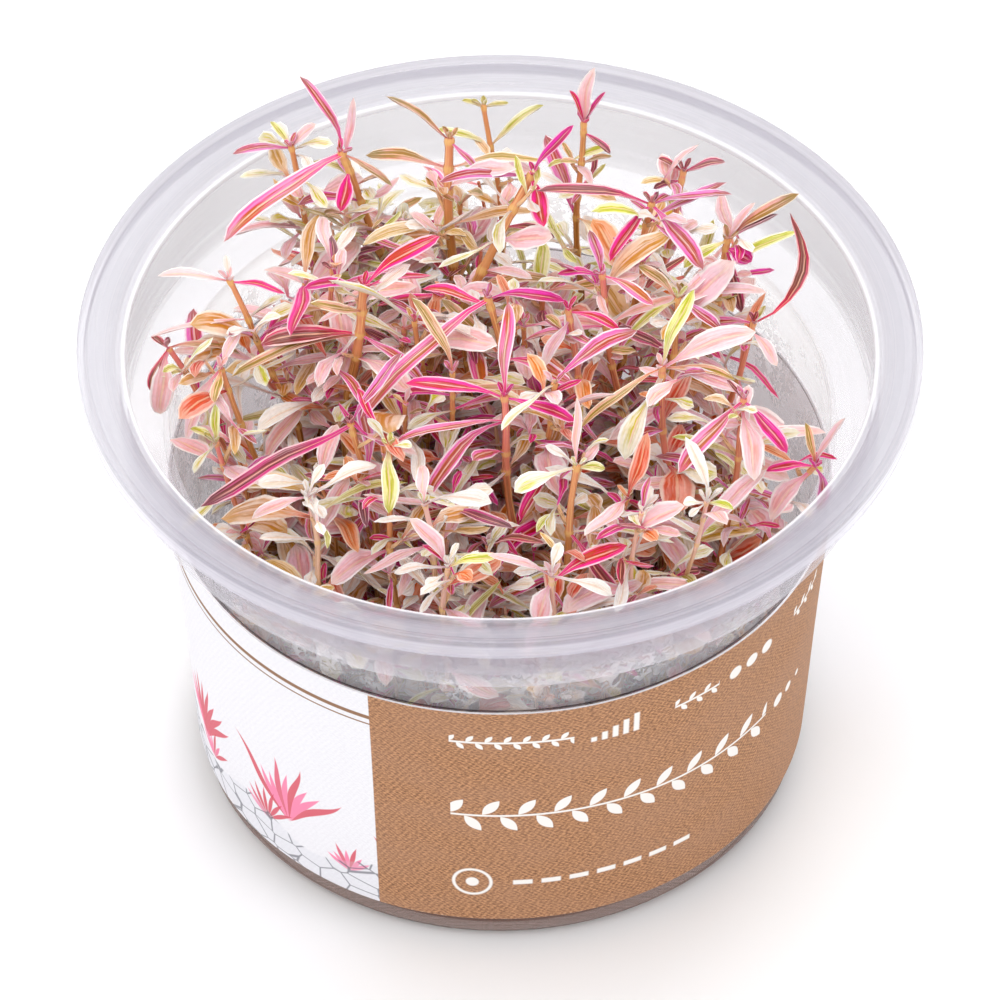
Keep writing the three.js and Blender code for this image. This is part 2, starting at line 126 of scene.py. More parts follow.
def size_of(tree, value):
    """How far a value is from zero, on either side."""
    return math_of(tree, "ABSOLUTE", value)


def vector_of(tree, *parts):
    return add_node(tree, "ShaderNodeCombineXYZ", dict(enumerate(parts))).outputs[0]


def object_place(tree):
    """Where a point lies on its object, in metres."""
    return add_node(tree, "ShaderNodeTexCoord").outputs["Object"]


def noise(tree, vector, scale, detail=2, **more):
    inputs = {"Vector": vector, "Scale": scale, "Detail": detail, **more}
    return add_node(tree, "ShaderNodeTexNoise", inputs).outputs[0]


def ramp(tree, value, low, high, out_low=0.0, out_high=1.0):
    """Eases from out_low to out_high as value goes from low to high."""
    inputs = {"Value": value, "From Min": low, "From Max": high, "To Min": out_low, "To Max": out_high}
    return add_node(tree, "ShaderNodeMapRange", inputs, interpolation_type="SMOOTHSTEP").outputs[0]


def mix_colour(tree, share, first, second):
    return add_node(tree, "ShaderNodeMix", {0: share, 6: first, 7: second}, data_type="RGBA").outputs[2]


def mix_value(tree, share, first, second):
    return add_node(tree, "ShaderNodeMix", {0: share, 2: first, 3: second}, data_type="FLOAT").outputs[0]


def new_finish(name):
    """A material, its node tree and its Principled shader."""
    finish = bpy.data.materials.new(name)
    finish.use_nodes = True
    tree = finish.node_tree
    tree.nodes.clear()
    shader = add_node(tree, "ShaderNodeBsdfPrincipled")
    add_node(tree, "ShaderNodeOutputMaterial", {"Surface": shader.outputs[0]})
    return finish, tree, shader


def dress(tree, shader, colour, roughness, relief=None, strength=0, depth=0):
    """Gives a shader its colour and roughness, and where there is a relief its bumps. depth is in millimetres."""
    tree.links.new(colour, shader.inputs["Base Color"])
    tree.links.new(roughness, shader.inputs["Roughness"])
    if relief is not None:
        bump = add_node(tree, "ShaderNodeBump", {"Height": relief, "Strength": strength, "Distance": depth * MM})
        tree.links.new(bump.outputs[0], shader.inputs["Normal"])


def body_radius(height):
    share = (height - CORNER_HEIGHT) / (LEDGE_UNDERSIDE - CORNER_HEIGHT)
    return BODY_BOTTOM_RADIUS + (BODY_TOP_RADIUS - BODY_BOTTOM_RADIUS) * share


def turned(bm, profile, steps):
    """Spins a profile of radius and height, in millimetres, round the cup's axis."""
    corners = [bm.verts.new((radius * MM, 0, height * MM)) for radius, height in profile]
    lines = [bm.edges.new(pair) for pair in zip(corners, corners[1:])]
    bmesh.ops.spin(bm, geom=corners + lines, axis=(0, 0, 1), cent=(0, 0, 0), angle=math.tau, steps=steps,
                   use_merge=True)
    bmesh.ops.remove_doubles(bm, verts=bm.verts, dist=0.001 * MM)
    bmesh.ops.recalc_face_normals(bm, faces=bm.faces)


def round_corners(bm, sharper_than, offset):
    sharp = [edge for edge in bm.edges if edge.calc_face_angle(0) > math.radians(sharper_than)]
    bmesh.ops.bevel(bm, geom=sharp, offset=offset * MM, segments=3, profile=0.5, affect="EDGES", material=-1,
                    clamp_overlap=True)


def new_object(name, bm, finishes):
    """Turns a finished bmesh into an object in the scene."""
    mesh = bpy.data.meshes.new(name)
    bm.to_mesh(mesh)
    bm.free()
    for finish in finishes:
        mesh.materials.append(finish)
    made = bpy.data.objects.new(name, mesh)
    bpy.context.scene.collection.objects.link(made)
    return made


def make_piece(name, bm, finishes, slot, *replaced):
    """Turns a finished bmesh into a smooth-shaded piece that rides on the part's one body."""
    for face in bm.faces:
        face.smooth = True
    piece = new_object(name, bm, finishes)
    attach(piece, "root")
    if replaced:
        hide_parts(*replaced)


def cup_profile():
    ledge_top = LEDGE_UNDERSIDE + LEDGE_THICKNESS
    flange_inner = CUP_HEIGHT - FLANGE_DROP
    lip_foot = CUP_HEIGHT - LIP_DEPTH
    slope = FLANGE_DROP / (RIM_RADIUS - COLLAR_INSIDE)
    bead_height, bead = COLLAR_BEAD
    grooves = []
    for radius in FLANGE_GROOVES:
        for step, drop in ((GROOVE_HALF_WIDTH, 0), (0, GROOVE_DEPTH), (-GROOVE_HALF_WIDTH, 0)):
            grooves.append((radius + step, flange_inner + (radius + step - COLLAR_INSIDE) * slope - drop))
    return [
        (0, BASE_RECESS),
        (FOOT_RADIUS - FOOT_RING_WIDTH - BASE_RECESS, BASE_RECESS),
        (FOOT_RADIUS - FOOT_RING_WIDTH, 0),
        (FOOT_RADIUS, 0),
        (BODY_BOTTOM_RADIUS, CORNER_HEIGHT),
        (BODY_TOP_RADIUS, LEDGE_UNDERSIDE),
        (COLLAR_OUTSIDE, LEDGE_UNDERSIDE),
        (COLLAR_OUTSIDE, flange_inner - WALL),
        (RIM_RADIUS - LIP_THICKNESS, CUP_HEIGHT - LIP_THICKNESS),
        (RIM_RADIUS - LIP_THICKNESS, lip_foot),
        (RIM_RADIUS, lip_foot),
        (RIM_RADIUS, CUP_HEIGHT),
        *grooves,
        (COLLAR_INSIDE, flange_inner),
        (COLLAR_INSIDE, bead_height + bead),
        (COLLAR_INSIDE - bead, bead_height),
        (COLLAR_INSIDE - bead, ledge_top),
        (BODY_TOP_RADIUS - WALL, ledge_top),
        (BODY_BOTTOM_RADIUS - WALL, FLOOR_TOP + CORNER_HEIGHT),
        (BODY_BOTTOM_RADIUS - WALL - CORNER_HEIGHT, FLOOR_TOP),
        (0, FLOOR_TOP),
    ]


def milky_plastic():
    """See-through plastic: a faint cloud, fine rings from the mould, and damp stipple inside the body."""
    finish, tree, shader = new_finish("milky_plastic")
    place = object_place(tree)
    axes = add_node(tree, "ShaderNodeSeparateXYZ", {0: place})
    flat = vector_of(tree, axes.outputs["X"], axes.outputs["Y"])
    radius = add_node(tree, "ShaderNodeVectorMath", {0: flat}, operation="LENGTH").outputs["Value"]
    height = axes.outputs["Z"]
    rings = vector_of(tree, times(tree, radius, 2200), times(tree, height, 1500))
    streaks = noise(tree, rings, 1, 2)
    cloud = noise(tree, place, 70, 3)

    # Damp lies on the inner face of the body, between the jelly and the ledge, in winding beads with clear
    # gaps
    wall_slope = (BODY_TOP_RADIUS - BODY_BOTTOM_RADIUS) / (LEDGE_UNDERSIDE - CORNER_HEIGHT)
    wall_middle = BODY_BOTTOM_RADIUS - WALL / 2 - wall_slope * CORNER_HEIGHT
    wall_radius = times_plus(tree, height, wall_slope, wall_middle * MM)
    inner = math_of(tree, "LESS_THAN", radius, wall_radius)
    below_ledge = ramp(tree, height, 0.0510, 0.0522, 1, 0)
    above_jelly = ramp(tree, height, 0.014, 0.020)
    winding = noise(tree, place, 1050, 1, Distortion=1.2)
    patches = noise(tree, place, 120, 2)
    damp = times(tree, times(tree, inner, below_ledge), above_jelly)
    damp = times(tree, damp, ramp(tree, patches, 0.44, 0.60, 0.05, 1))
    bead = times(tree, ramp(tree, winding, 0.44, 0.54), damp)

    relief = times_plus(tree, bead, 1.0, times(tree, streaks, 0.05))
    facing = add_node(tree, "ShaderNodeLayerWeight", {"Blend": 0.35}).outputs["Facing"]
    milk = ramp(tree, height, 0.0515, 0.0530, 0.06, 0.18)
    in_jelly = ramp(tree, height, *JELLY_FADE, 1, 0)
    milk = mix_value(tree, in_jelly, milk, 0.42)
    flange = times(tree, ramp(tree, radius, 0.0440, 0.0446), ramp(tree, height, 0.0625, 0.0632))
    milk = times_plus(tree, flange, 0.20, milk)
    # A painted highlight: the flange's inner edge is drawn paler and more opaque
    rim_edge_highlight = times(tree, flange, ramp(tree, radius, 0.0446, 0.0450, 1, 0))
    milk = times_plus(tree, rim_edge_highlight, 0.3, milk)
    edge_milk = times(tree, facing, ramp(tree, height, *JELLY_FADE, 0.10, 0.22))
    opacity = plus(tree, milk, edge_milk)
    opacity = times_plus(tree, cloud, 0.05, opacity)
    opacity = times_plus(tree, streaks, 0.03, opacity)
    opacity = times_plus(tree, bead, 0.30, opacity)

    # A painted shadow: a thin dark line runs along the paper's upper edge. At the front, crooked dark marks are drawn
    # on the collar just under the flange
    outer = minus(tree, 1, inner)
    above_label = minus(tree, height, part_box("label")[1].z)
    label_edge_shadow = times(tree, ramp(tree, size_of(tree, above_label), 0.00006, 0.00022, 1, 0), outer)
    bent = noise(tree, place, 160, 2)
    wavy = times_plus(tree, bent, 0.0030, minus(tree, height, 0.0618))
    dark_collar_marks = times(tree, ramp(tree, size_of(tree, wavy), 0.00008, 0.00022, 1, 0),
                ramp(tree, patches, 0.50, 0.56))
    dark_collar_marks = times(tree, dark_collar_marks, math_of(tree, "LESS_THAN", axes.outputs["Y"], -0.028))
    dark_collar_marks = times(tree, dark_collar_marks, math_of(tree, "COMPARE", radius, COLLAR_OUTSIDE * MM, 0.0003))
    line = math_of(tree, "MAXIMUM", label_edge_shadow, times(tree, dark_collar_marks, 0.55))
    opacity = times_plus(tree, line, 0.55, opacity)
    colour = mix_colour(tree, cloud, paint(232, 231, 238), paint(238, 237, 243))
    colour = mix_colour(tree, ramp(tree, height, 0.0515, 0.0560), colour, paint(158, 149, 162))
    colour = mix_colour(tree, flange, colour, paint(182, 179, 190))
    # The painted highlight along the flange's inner edge
    colour = mix_colour(tree, rim_edge_highlight, colour, paint(244, 243, 248))
    colour = mix_colour(tree, in_jelly, colour, paint(128, 90, 76))
    lip = times(tree, ramp(tree, radius, 0.0492, 0.0494), ramp(tree, height, 0.0640, 0.0646, 1, 0))
    colour = mix_colour(tree, lip, colour, paint(226, 223, 234))
    colour = mix_colour(tree, times(tree, bead, 0.8), colour, paint(246, 245, 249))
    # The painted shadow line and the dark marks under the flange, in one dark colour
    colour = mix_colour(tree, line, colour, paint(74, 58, 60))
    dress(tree, shader, colour, ramp(tree, streaks, 0.3, 0.7, 0.22, 0.36), relief, 0.4, 0.2)
    tree.links.new(opacity, shader.inputs["Alpha"])
    shader.inputs["IOR"].default_value = 1.5
    return finish


bm = bmesh.new()
turned(bm, cup_profile(), CUP_STEPS)
round_corners(bm, CORNER_SHARPNESS, CORNER_ROUNDING)
make_piece("moulded_cup", bm, [milky_plastic()], "cup", "cup")

# Label
# A printed band of uncoated paper that follows the body's cone and stops short of itself at the back. Most
# of it is printed brown over a fine laid grain, and one panel is left white for a plain leaf and pebble
# design.
label_low, label_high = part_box("label")
LABEL_BOTTOM = label_low.z / MM
LABEL_TOP = label_high.z / MM
LABEL_GAP = 0.3
LABEL_THICKNESS = 0.25
LABEL_GAP_AT_BACK = 9
LABEL_RADIUS = 38.7
LABEL_AROUND, LABEL_UP = 288, 16
LABEL_HALF_TURN = math.pi - math.asin(LABEL_GAP_AT_BACK / 2 / LABEL_RADIUS)
GRAIN_DOTS = 8.5
EDGE_SOFTNESS = 0.06
PANEL_EDGE = -15.4
BROWN_END = 64.0


def band_mark(tree, along, across, left, right, low, high, soft=0.12):
    """A printed rectangle, in millimetres along and up the label."""
    wide = times(tree, ramp(tree, along, left - soft, left + soft),
                 ramp(tree, along, right - soft, right + soft, 1, 0))
    tall = times(tree, ramp(tree, across, low - soft, low + soft),
                 ramp(tree, across, high - soft, high + soft, 1, 0))
    return times(tree, wide, tall)


def distance(tree, x, y):
    return math_of(tree, "SQRT", plus(tree, math_of(tree, "POWER", x, 2), math_of(tree, "POWER", y, 2)))


def disc_mark(tree, along, across, x, y, radius, soft=0.12):
    """A printed disc."""
    away = distance(tree, minus(tree, along, x), minus(tree, across, y))
    return ramp(tree, away, radius - soft, radius + soft, 1, 0)


def fan_mark(tree, along, across, cell, ground, reach, leaves, spread, width):
    """Pointed leaves that fan out of one root in every cell of the panel: the mask and a value for each leaf."""
    number = math_of(tree, "FLOOR", math_of(tree, "DIVIDE", along, cell))
    cell_lot = add_node(tree, "ShaderNodeTexWhiteNoise", {"W": plus(tree, number, cell)},
                        noise_dimensions="1D").outputs["Value"]
    x = minus(tree, minus(tree, along, times(tree, number, cell)), cell / 2)
    y = minus(tree, across, times_plus(tree, cell_lot, 3.0, ground))
    away = distance(tree, x, y)
    bow = times(tree, math_of(tree, "SINE", times(tree, away, 0.45)), 0.06)
    turn = plus(tree, math_of(tree, "ARCTAN2", x, y), bow)
    sector = spread / leaves
    place = math_of(tree, "DIVIDE", turn, sector)
    leaf = math_of(tree, "ROUND", place)
    beside = times(tree, size_of(tree, minus(tree, place, leaf)), sector)
    lot = add_node(tree, "ShaderNodeTexWhiteNoise", {"W": times_plus(tree, number, 17.3, leaf)},
                   noise_dimensions="1D").outputs["Value"]
    size = times_plus(tree, cell_lot, reach * 0.3, reach * 0.7)
    length = times(tree, size, times_plus(tree, lot, 0.45, 0.55))
    share = math_of(tree, "DIVIDE", away, length)
    bulge = math_of(tree, "SINE", times(tree, math_of(tree, "MINIMUM", share, 1), math.pi))
    gap = minus(tree, times(tree, bulge, width), times(tree, beside, away))
    inside = math_of(tree, "LESS_THAN", size_of(tree, turn), spread / 2)
    mask = times(tree, ramp(tree, gap, 0, 0.14), inside)
    return times(tree, mask, math_of(tree, "LESS_THAN", share, 1)), lot


def garland_mark(tree, along, across, left, right, middle, pitch, length, width):
    """A twig with small pointed leaves that stand alternately above and below it."""
    up = minus(tree, across, middle)
    above = math_of(tree, "GREATER_THAN", up, 0)
    shifted = times_plus(tree, above, pitch / 2, minus(tree, along, left))
    x = minus(tree, math_of(tree, "MODULO", shifted, pitch), pitch * 0.35)
    y = size_of(tree, up)
    lean = math.radians(52)
    lengthwise = plus(tree, times(tree, x, math.cos(lean)), times(tree, y, math.sin(lean)))
    sideways = minus(tree, times(tree, y, math.cos(lean)), times(tree, x, math.sin(lean)))
    share = times_plus(tree, lengthwise, 2 / length, -1.1)
    half = times_plus(tree, math_of(tree, "POWER", share, 2), -width / 2, width / 2)
    leaf = ramp(tree, minus(tree, half, size_of(tree, sideways)), -0.02, 0.1)
    twig = band_mark(tree, along, across, left, right, middle - 0.16, middle + 0.16, 0.08)
    wide = times(tree, math_of(tree, "GREATER_THAN", along, left), math_of(tree, "LESS_THAN", along, right))
    return math_of(tree, "MAXIMUM", twig, times(tree, leaf, wide))


def bare_paper():
    """The label's unprinted side and its cut edges, seen through the cup."""
    finish, tree, shader = new_finish("bare_paper")
    place = object_place(tree)
    pulp = noise(tree, place, 1400, 3)
    colour = mix_colour(tree, pulp, paint(220, 218, 221), paint(232, 230, 233))
    dress(tree, shader, colour, ramp(tree, pulp, 0.3, 0.7, 0.7, 0.9), pulp, 0.3, 0.05)

    # Painted light: the unprinted side glows by emission toward the back and sides of the cup, as if daylight shone
    # through the paper
    backward = ramp(tree, add_node(tree, "ShaderNodeSeparateXYZ", {0: place}).outputs["Y"], -0.034, -0.010)
    painted_glow = mix_colour(tree, backward, paint(0, 0, 0), paint(250, 249, 252))
    tree.links.new(painted_glow, shader.inputs["Emission Color"])
    shader.inputs["Emission Strength"].default_value = 0.42
    return finish


def printed_paper():
    finish, tree, shader = new_finish("printed_paper")
    sheet = add_node(tree, "ShaderNodeUVMap", uv_map="sheet").outputs[0]
    spot = add_node(tree, "ShaderNodeSeparateXYZ", {0: sheet})
    length = 2 * LABEL_HALF_TURN * LABEL_RADIUS
    along = times_plus(tree, spot.outputs["X"], length, -length / 2)
    across = times_plus(tree, spot.outputs["Y"], LABEL_TOP - LABEL_BOTTOM, LABEL_BOTTOM)

    # The grain: fine threads both ways and slanting fibres, in millimetres on the sheet
    threads = vector_of(tree, times(tree, along, 1.5), times(tree, across, 3.4))
    weave = noise(tree, threads, 1.6, 2, Roughness=0.7)
    slant = add_node(tree, "ShaderNodeMapping", {"Vector": threads, "Rotation": (0, 0, math.radians(52)),
                                                 "Scale": (0.6, 3.2, 1)})
    fibres = noise(tree, slant.outputs[0], 1.5, 2)
    grain = times_plus(tree, weave, 0.5, times(tree, fibres, 0.5))
    slanting = math_of(tree, "SINE", times_plus(tree, across, 3, times(tree, along, GRAIN_DOTS)))
    dots = times(tree, slanting, math_of(tree, "SINE", times(tree, across, GRAIN_DOTS)))
    tone = ramp(tree, times_plus(tree, dots, 0.05, grain), 0.40, 0.60)
    shade = noise(tree, threads, 0.05, 1)
    brown = mix_colour(tree, tone, paint(116, 74, 44), paint(198, 146, 104))
    brown = mix_colour(tree, ramp(tree, shade, 0.3, 0.7, 0, 0.25), brown, paint(168, 128, 104))
    white = mix_colour(tree, tone, paint(224, 222, 227), paint(234, 233, 237))

    # White ornaments on the brown part: leafy twigs, rising bars, dots, a ring and dashes
    at = (tree, along, across)
    ring = minus(tree, disc_mark(*at, -3.4, 11.3, 2.5), disc_mark(*at, -3.4, 11.3, 2.1))
    marks = [
        ring,
        disc_mark(*at, -3.4, 11.3, 0.8),
        garland_mark(*at, -5.9, 8.6, 37.4, 2.2, 1.5, 0.75),
        garland_mark(*at, -5.9, 37.4, 23.9, 4.3, 3.4, 1.5),
        garland_mark(*at, 41.8, 49.0, 37.4, 2.2, 1.5, 0.75),
        garland_mark(*at, 21.2, 27.6, 37.4, 2.2, 1.5, 0.75),
        *(band_mark(*at, 10.6 + 1.3 * step, 11.3 + 1.3 * step, 36.0, 36.8 + 0.6 * step)
          for step in range(5)),
        *(disc_mark(*at, 30.2 + 2.8 * step, 37.5, 0.95) for step in range(3)),
        *(disc_mark(*at, 40.2 + 2.6 * step, 23.9, 0.95 - 0.25 * step) for step in range(3)),
        *(band_mark(*at, 1.6 + 3.5 * step, 4.0 + 3.5 * step, 10.9, 11.7) for step in range(7)),
    ]
    printed = marks[0]
    for mark in marks[1:]:
        printed = math_of(tree, "MAXIMUM", printed, mark)
    brown = mix_colour(tree, printed, brown, paint(236, 232, 228))

    # The white part's own design: fans of pointed leaves over outlined pebbles, under two plain rules
    leaf_reds = (paint(236, 118, 158), paint(206, 66, 86))
    # Each row of fans: its cell, root height, reach, number of leaves, spread and leaf width
    for fans in ((19, 9.0, 15.0, 9, 1.7, 0.62), (13, 7.0, 7.5, 7, 2.2, 0.4)):
        mask, lot = fan_mark(tree, along, across, *fans)
        tint = mix_colour(tree, ramp(tree, lot, 0.35, 0.65), *leaf_reds)
        white = mix_colour(tree, times(tree, mask, 0.92), white, tint)
    ground = vector_of(tree, times(tree, along, 0.26), times(tree, across, 0.42))
    pebble = add_node(tree, "ShaderNodeTexVoronoi", {"Vector": ground, "Scale": 1, "Randomness": 0.85},
                      feature="DISTANCE_TO_EDGE").outputs["Distance"]
    hill = times_plus(tree, math_of(tree, "SINE", times(tree, along, 0.31)), 1.4, 9.8)
    below = ramp(tree, minus(tree, hill, across), 0, 0.4)
    outline = times(tree, ramp(tree, pebble, 0.015, 0.05, 1, 0), below)
    white = mix_colour(tree, times(tree, below, 0.22), white, paint(196, 199, 210))
    white = mix_colour(tree, times(tree, outline, 0.75), white, paint(88, 88, 98))
    rule = math_of(tree, "MAXIMUM", ramp(tree, size_of(tree, minus(tree, across, 38.6)),
                                         0.28, 0.36, 1, 0),
                   ramp(tree, size_of(tree, minus(tree, across, 37.4)), 0.08, 0.16, 1, 0))
    white = mix_colour(tree, rule, white, paint(140, 102, 74))

    panel = times(tree, ramp(tree, along, PANEL_EDGE - EDGE_SOFTNESS, PANEL_EDGE + EDGE_SOFTNESS),
                  ramp(tree, along, BROWN_END - EDGE_SOFTNESS, BROWN_END + EDGE_SOFTNESS, 1, 0))
    colour = mix_colour(tree, panel, white, brown)

    # The paper shows pale where it was cut
    from_edge = math_of(tree, "MINIMUM", minus(tree, across, LABEL_BOTTOM), minus(tree, LABEL_TOP, across))
    worn = times(tree, ramp(tree, from_edge, 0.05, 0.28, 1, 0), ramp(tree, weave, 0.5, 0.7))
    colour = mix_colour(tree, times(tree, worn, 0.4), colour, paint(232, 222, 210))
    dress(tree, shader, colour, ramp(tree, tone, 0, 1, 0.62, 0.8), grain, 0.2, 0.04)
    return finish


bm = bmesh.new()
sheet_layer = bm.loops.layers.uv.new("sheet")
paper = bmesh.ops.create_grid(bm, x_segments=LABEL_AROUND, y_segments=LABEL_UP, size=0.5)["verts"]
for face in bm.faces:
    for loop in face.loops:
        loop[sheet_layer].uv = loop.vert.co.xy + Vector((0.5, 0.5))
for vert in paper:
    turn = vert.co.x * 2 * LABEL_HALF_TURN
    height = LABEL_BOTTOM + (LABEL_TOP - LABEL_BOTTOM) * (vert.co.y + 0.5)
    lift = 0.05 * math.sin(7 * turn + 0.16 * height) * math.sin(3 * turn)
    radius = body_radius(height) + LABEL_GAP + LABEL_THICKNESS + lift
    vert.co = Vector((math.sin(turn) * radius, -math.cos(turn) * radius, height)) * MM
bmesh.ops.recalc_face_normals(bm, faces=bm.faces)
if bm.faces[:][0].normal.dot(bm.faces[:][0].calc_center_median()) < 0:
    bmesh.ops.reverse_faces(bm, faces=bm.faces)
bmesh.ops.solidify(bm, geom=bm.faces, thickness=LABEL_THICKNESS * MM)
for face in bm.faces:
    outward = Vector((face.calc_center_median().x, face.calc_center_median().y, 0)).normalized()
    face.material_index = 0 if face.normal.dot(outward) > 0.5 else 1
for edge in bm.edges:
    edge.smooth = edge.calc_face_angle(0) < math.radians(50)
make_piece("paper_label", bm, [printed_paper(), bare_paper()], "label", "label")

# Jelly bed
# The nutrient jelly that the plants root in: poured hot, so it fills the bottom of the cup, climbs a little
# where it meets the wall and sets with a faintly uneven top. It is clear tan and slightly cloudy.
gel_low, gel_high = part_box("gel")
GEL_TOP = gel_high.z / MM
GEL_GAP = 0.45
MENISCUS = 0.35
GEL_STEPS = 96


def set_jelly():
    finish, tree, shader = new_finish("set_jelly")
    place = object_place(tree)
    cloud = noise(tree, place, 120, 4)
    specks = add_node(tree, "ShaderNodeTexVoronoi", {"Vector": place, "Scale": 420}).outputs["Distance"]
    colour = mix_colour(tree, cloud, paint(78, 50, 42), paint(128, 92, 76))
    colour = mix_colour(tree, ramp(tree, specks, 0.06, 0.16, 0.4, 0), colour, paint(224, 206, 190))
    dress(tree, shader, colour, ramp(tree, cloud, 0.3, 0.7, 0.12, 0.3), cloud, 0.4, 0.6)
    shader.inputs["IOR"].default_value = 1.34
    return finish


bm = bmesh.new()
gel_bottom = gel_low.z / MM
gel_side = BODY_BOTTOM_RADIUS - WALL - GEL_GAP
gel_rim = body_radius(GEL_TOP) - WALL - GEL_GAP
rings = 12
turned(bm, [
    (0, gel_bottom),
    (gel_side - CORNER_HEIGHT, gel_bottom),
    (gel_side, FLOOR_TOP + CORNER_HEIGHT),
    (gel_rim, GEL_TOP),
    (gel_rim - 0.6, GEL_TOP - MENISCUS * 0.6),
    *((gel_rim * (1 - step / rings), GEL_TOP - MENISCUS) for step in range(1, rings + 1)),
], GEL_STEPS)
for vert in bm.verts:
    if vert.co.z > (GEL_TOP - 1) * MM and vert.co.xy.length < (gel_rim - 1) * MM:
        ripple = math.sin(vert.co.x / MM * 0.7) * math.cos(vert.co.y / MM * 0.6 + 1)
        vert.co.z += 0.2 * ripple * MM
make_piece("jelly_bed", bm, [set_jelly()], "gel", "gel")

# Shoots
# Each plant is one stem with pairs of narrow leaves, a quarter turn between one pair and the next. It was
# grown in the jelly as one piece. Every stem stands where its solid does, and every main leaf ends at its
# solid's tip.
STEM_START = GEL_TOP + 0.3
STEM_STEPS = 3
STEM_UPRIGHT = 0.62
STEM_CROWDING = 1.4
CROWN_DEPTH = 0.4
STEM_SWAY = 0.6
LEAF_ARCH = 0.16
BED_RADIUS = 33
FOOT_SPACING = 4.4
SPIRAL_TURNS = 78
GOLDEN_ANGLE = 137.508
SHOOT_COUNT = 57
TIP_MATCH = 0.05
RIBBON_LENGTH = 14.5

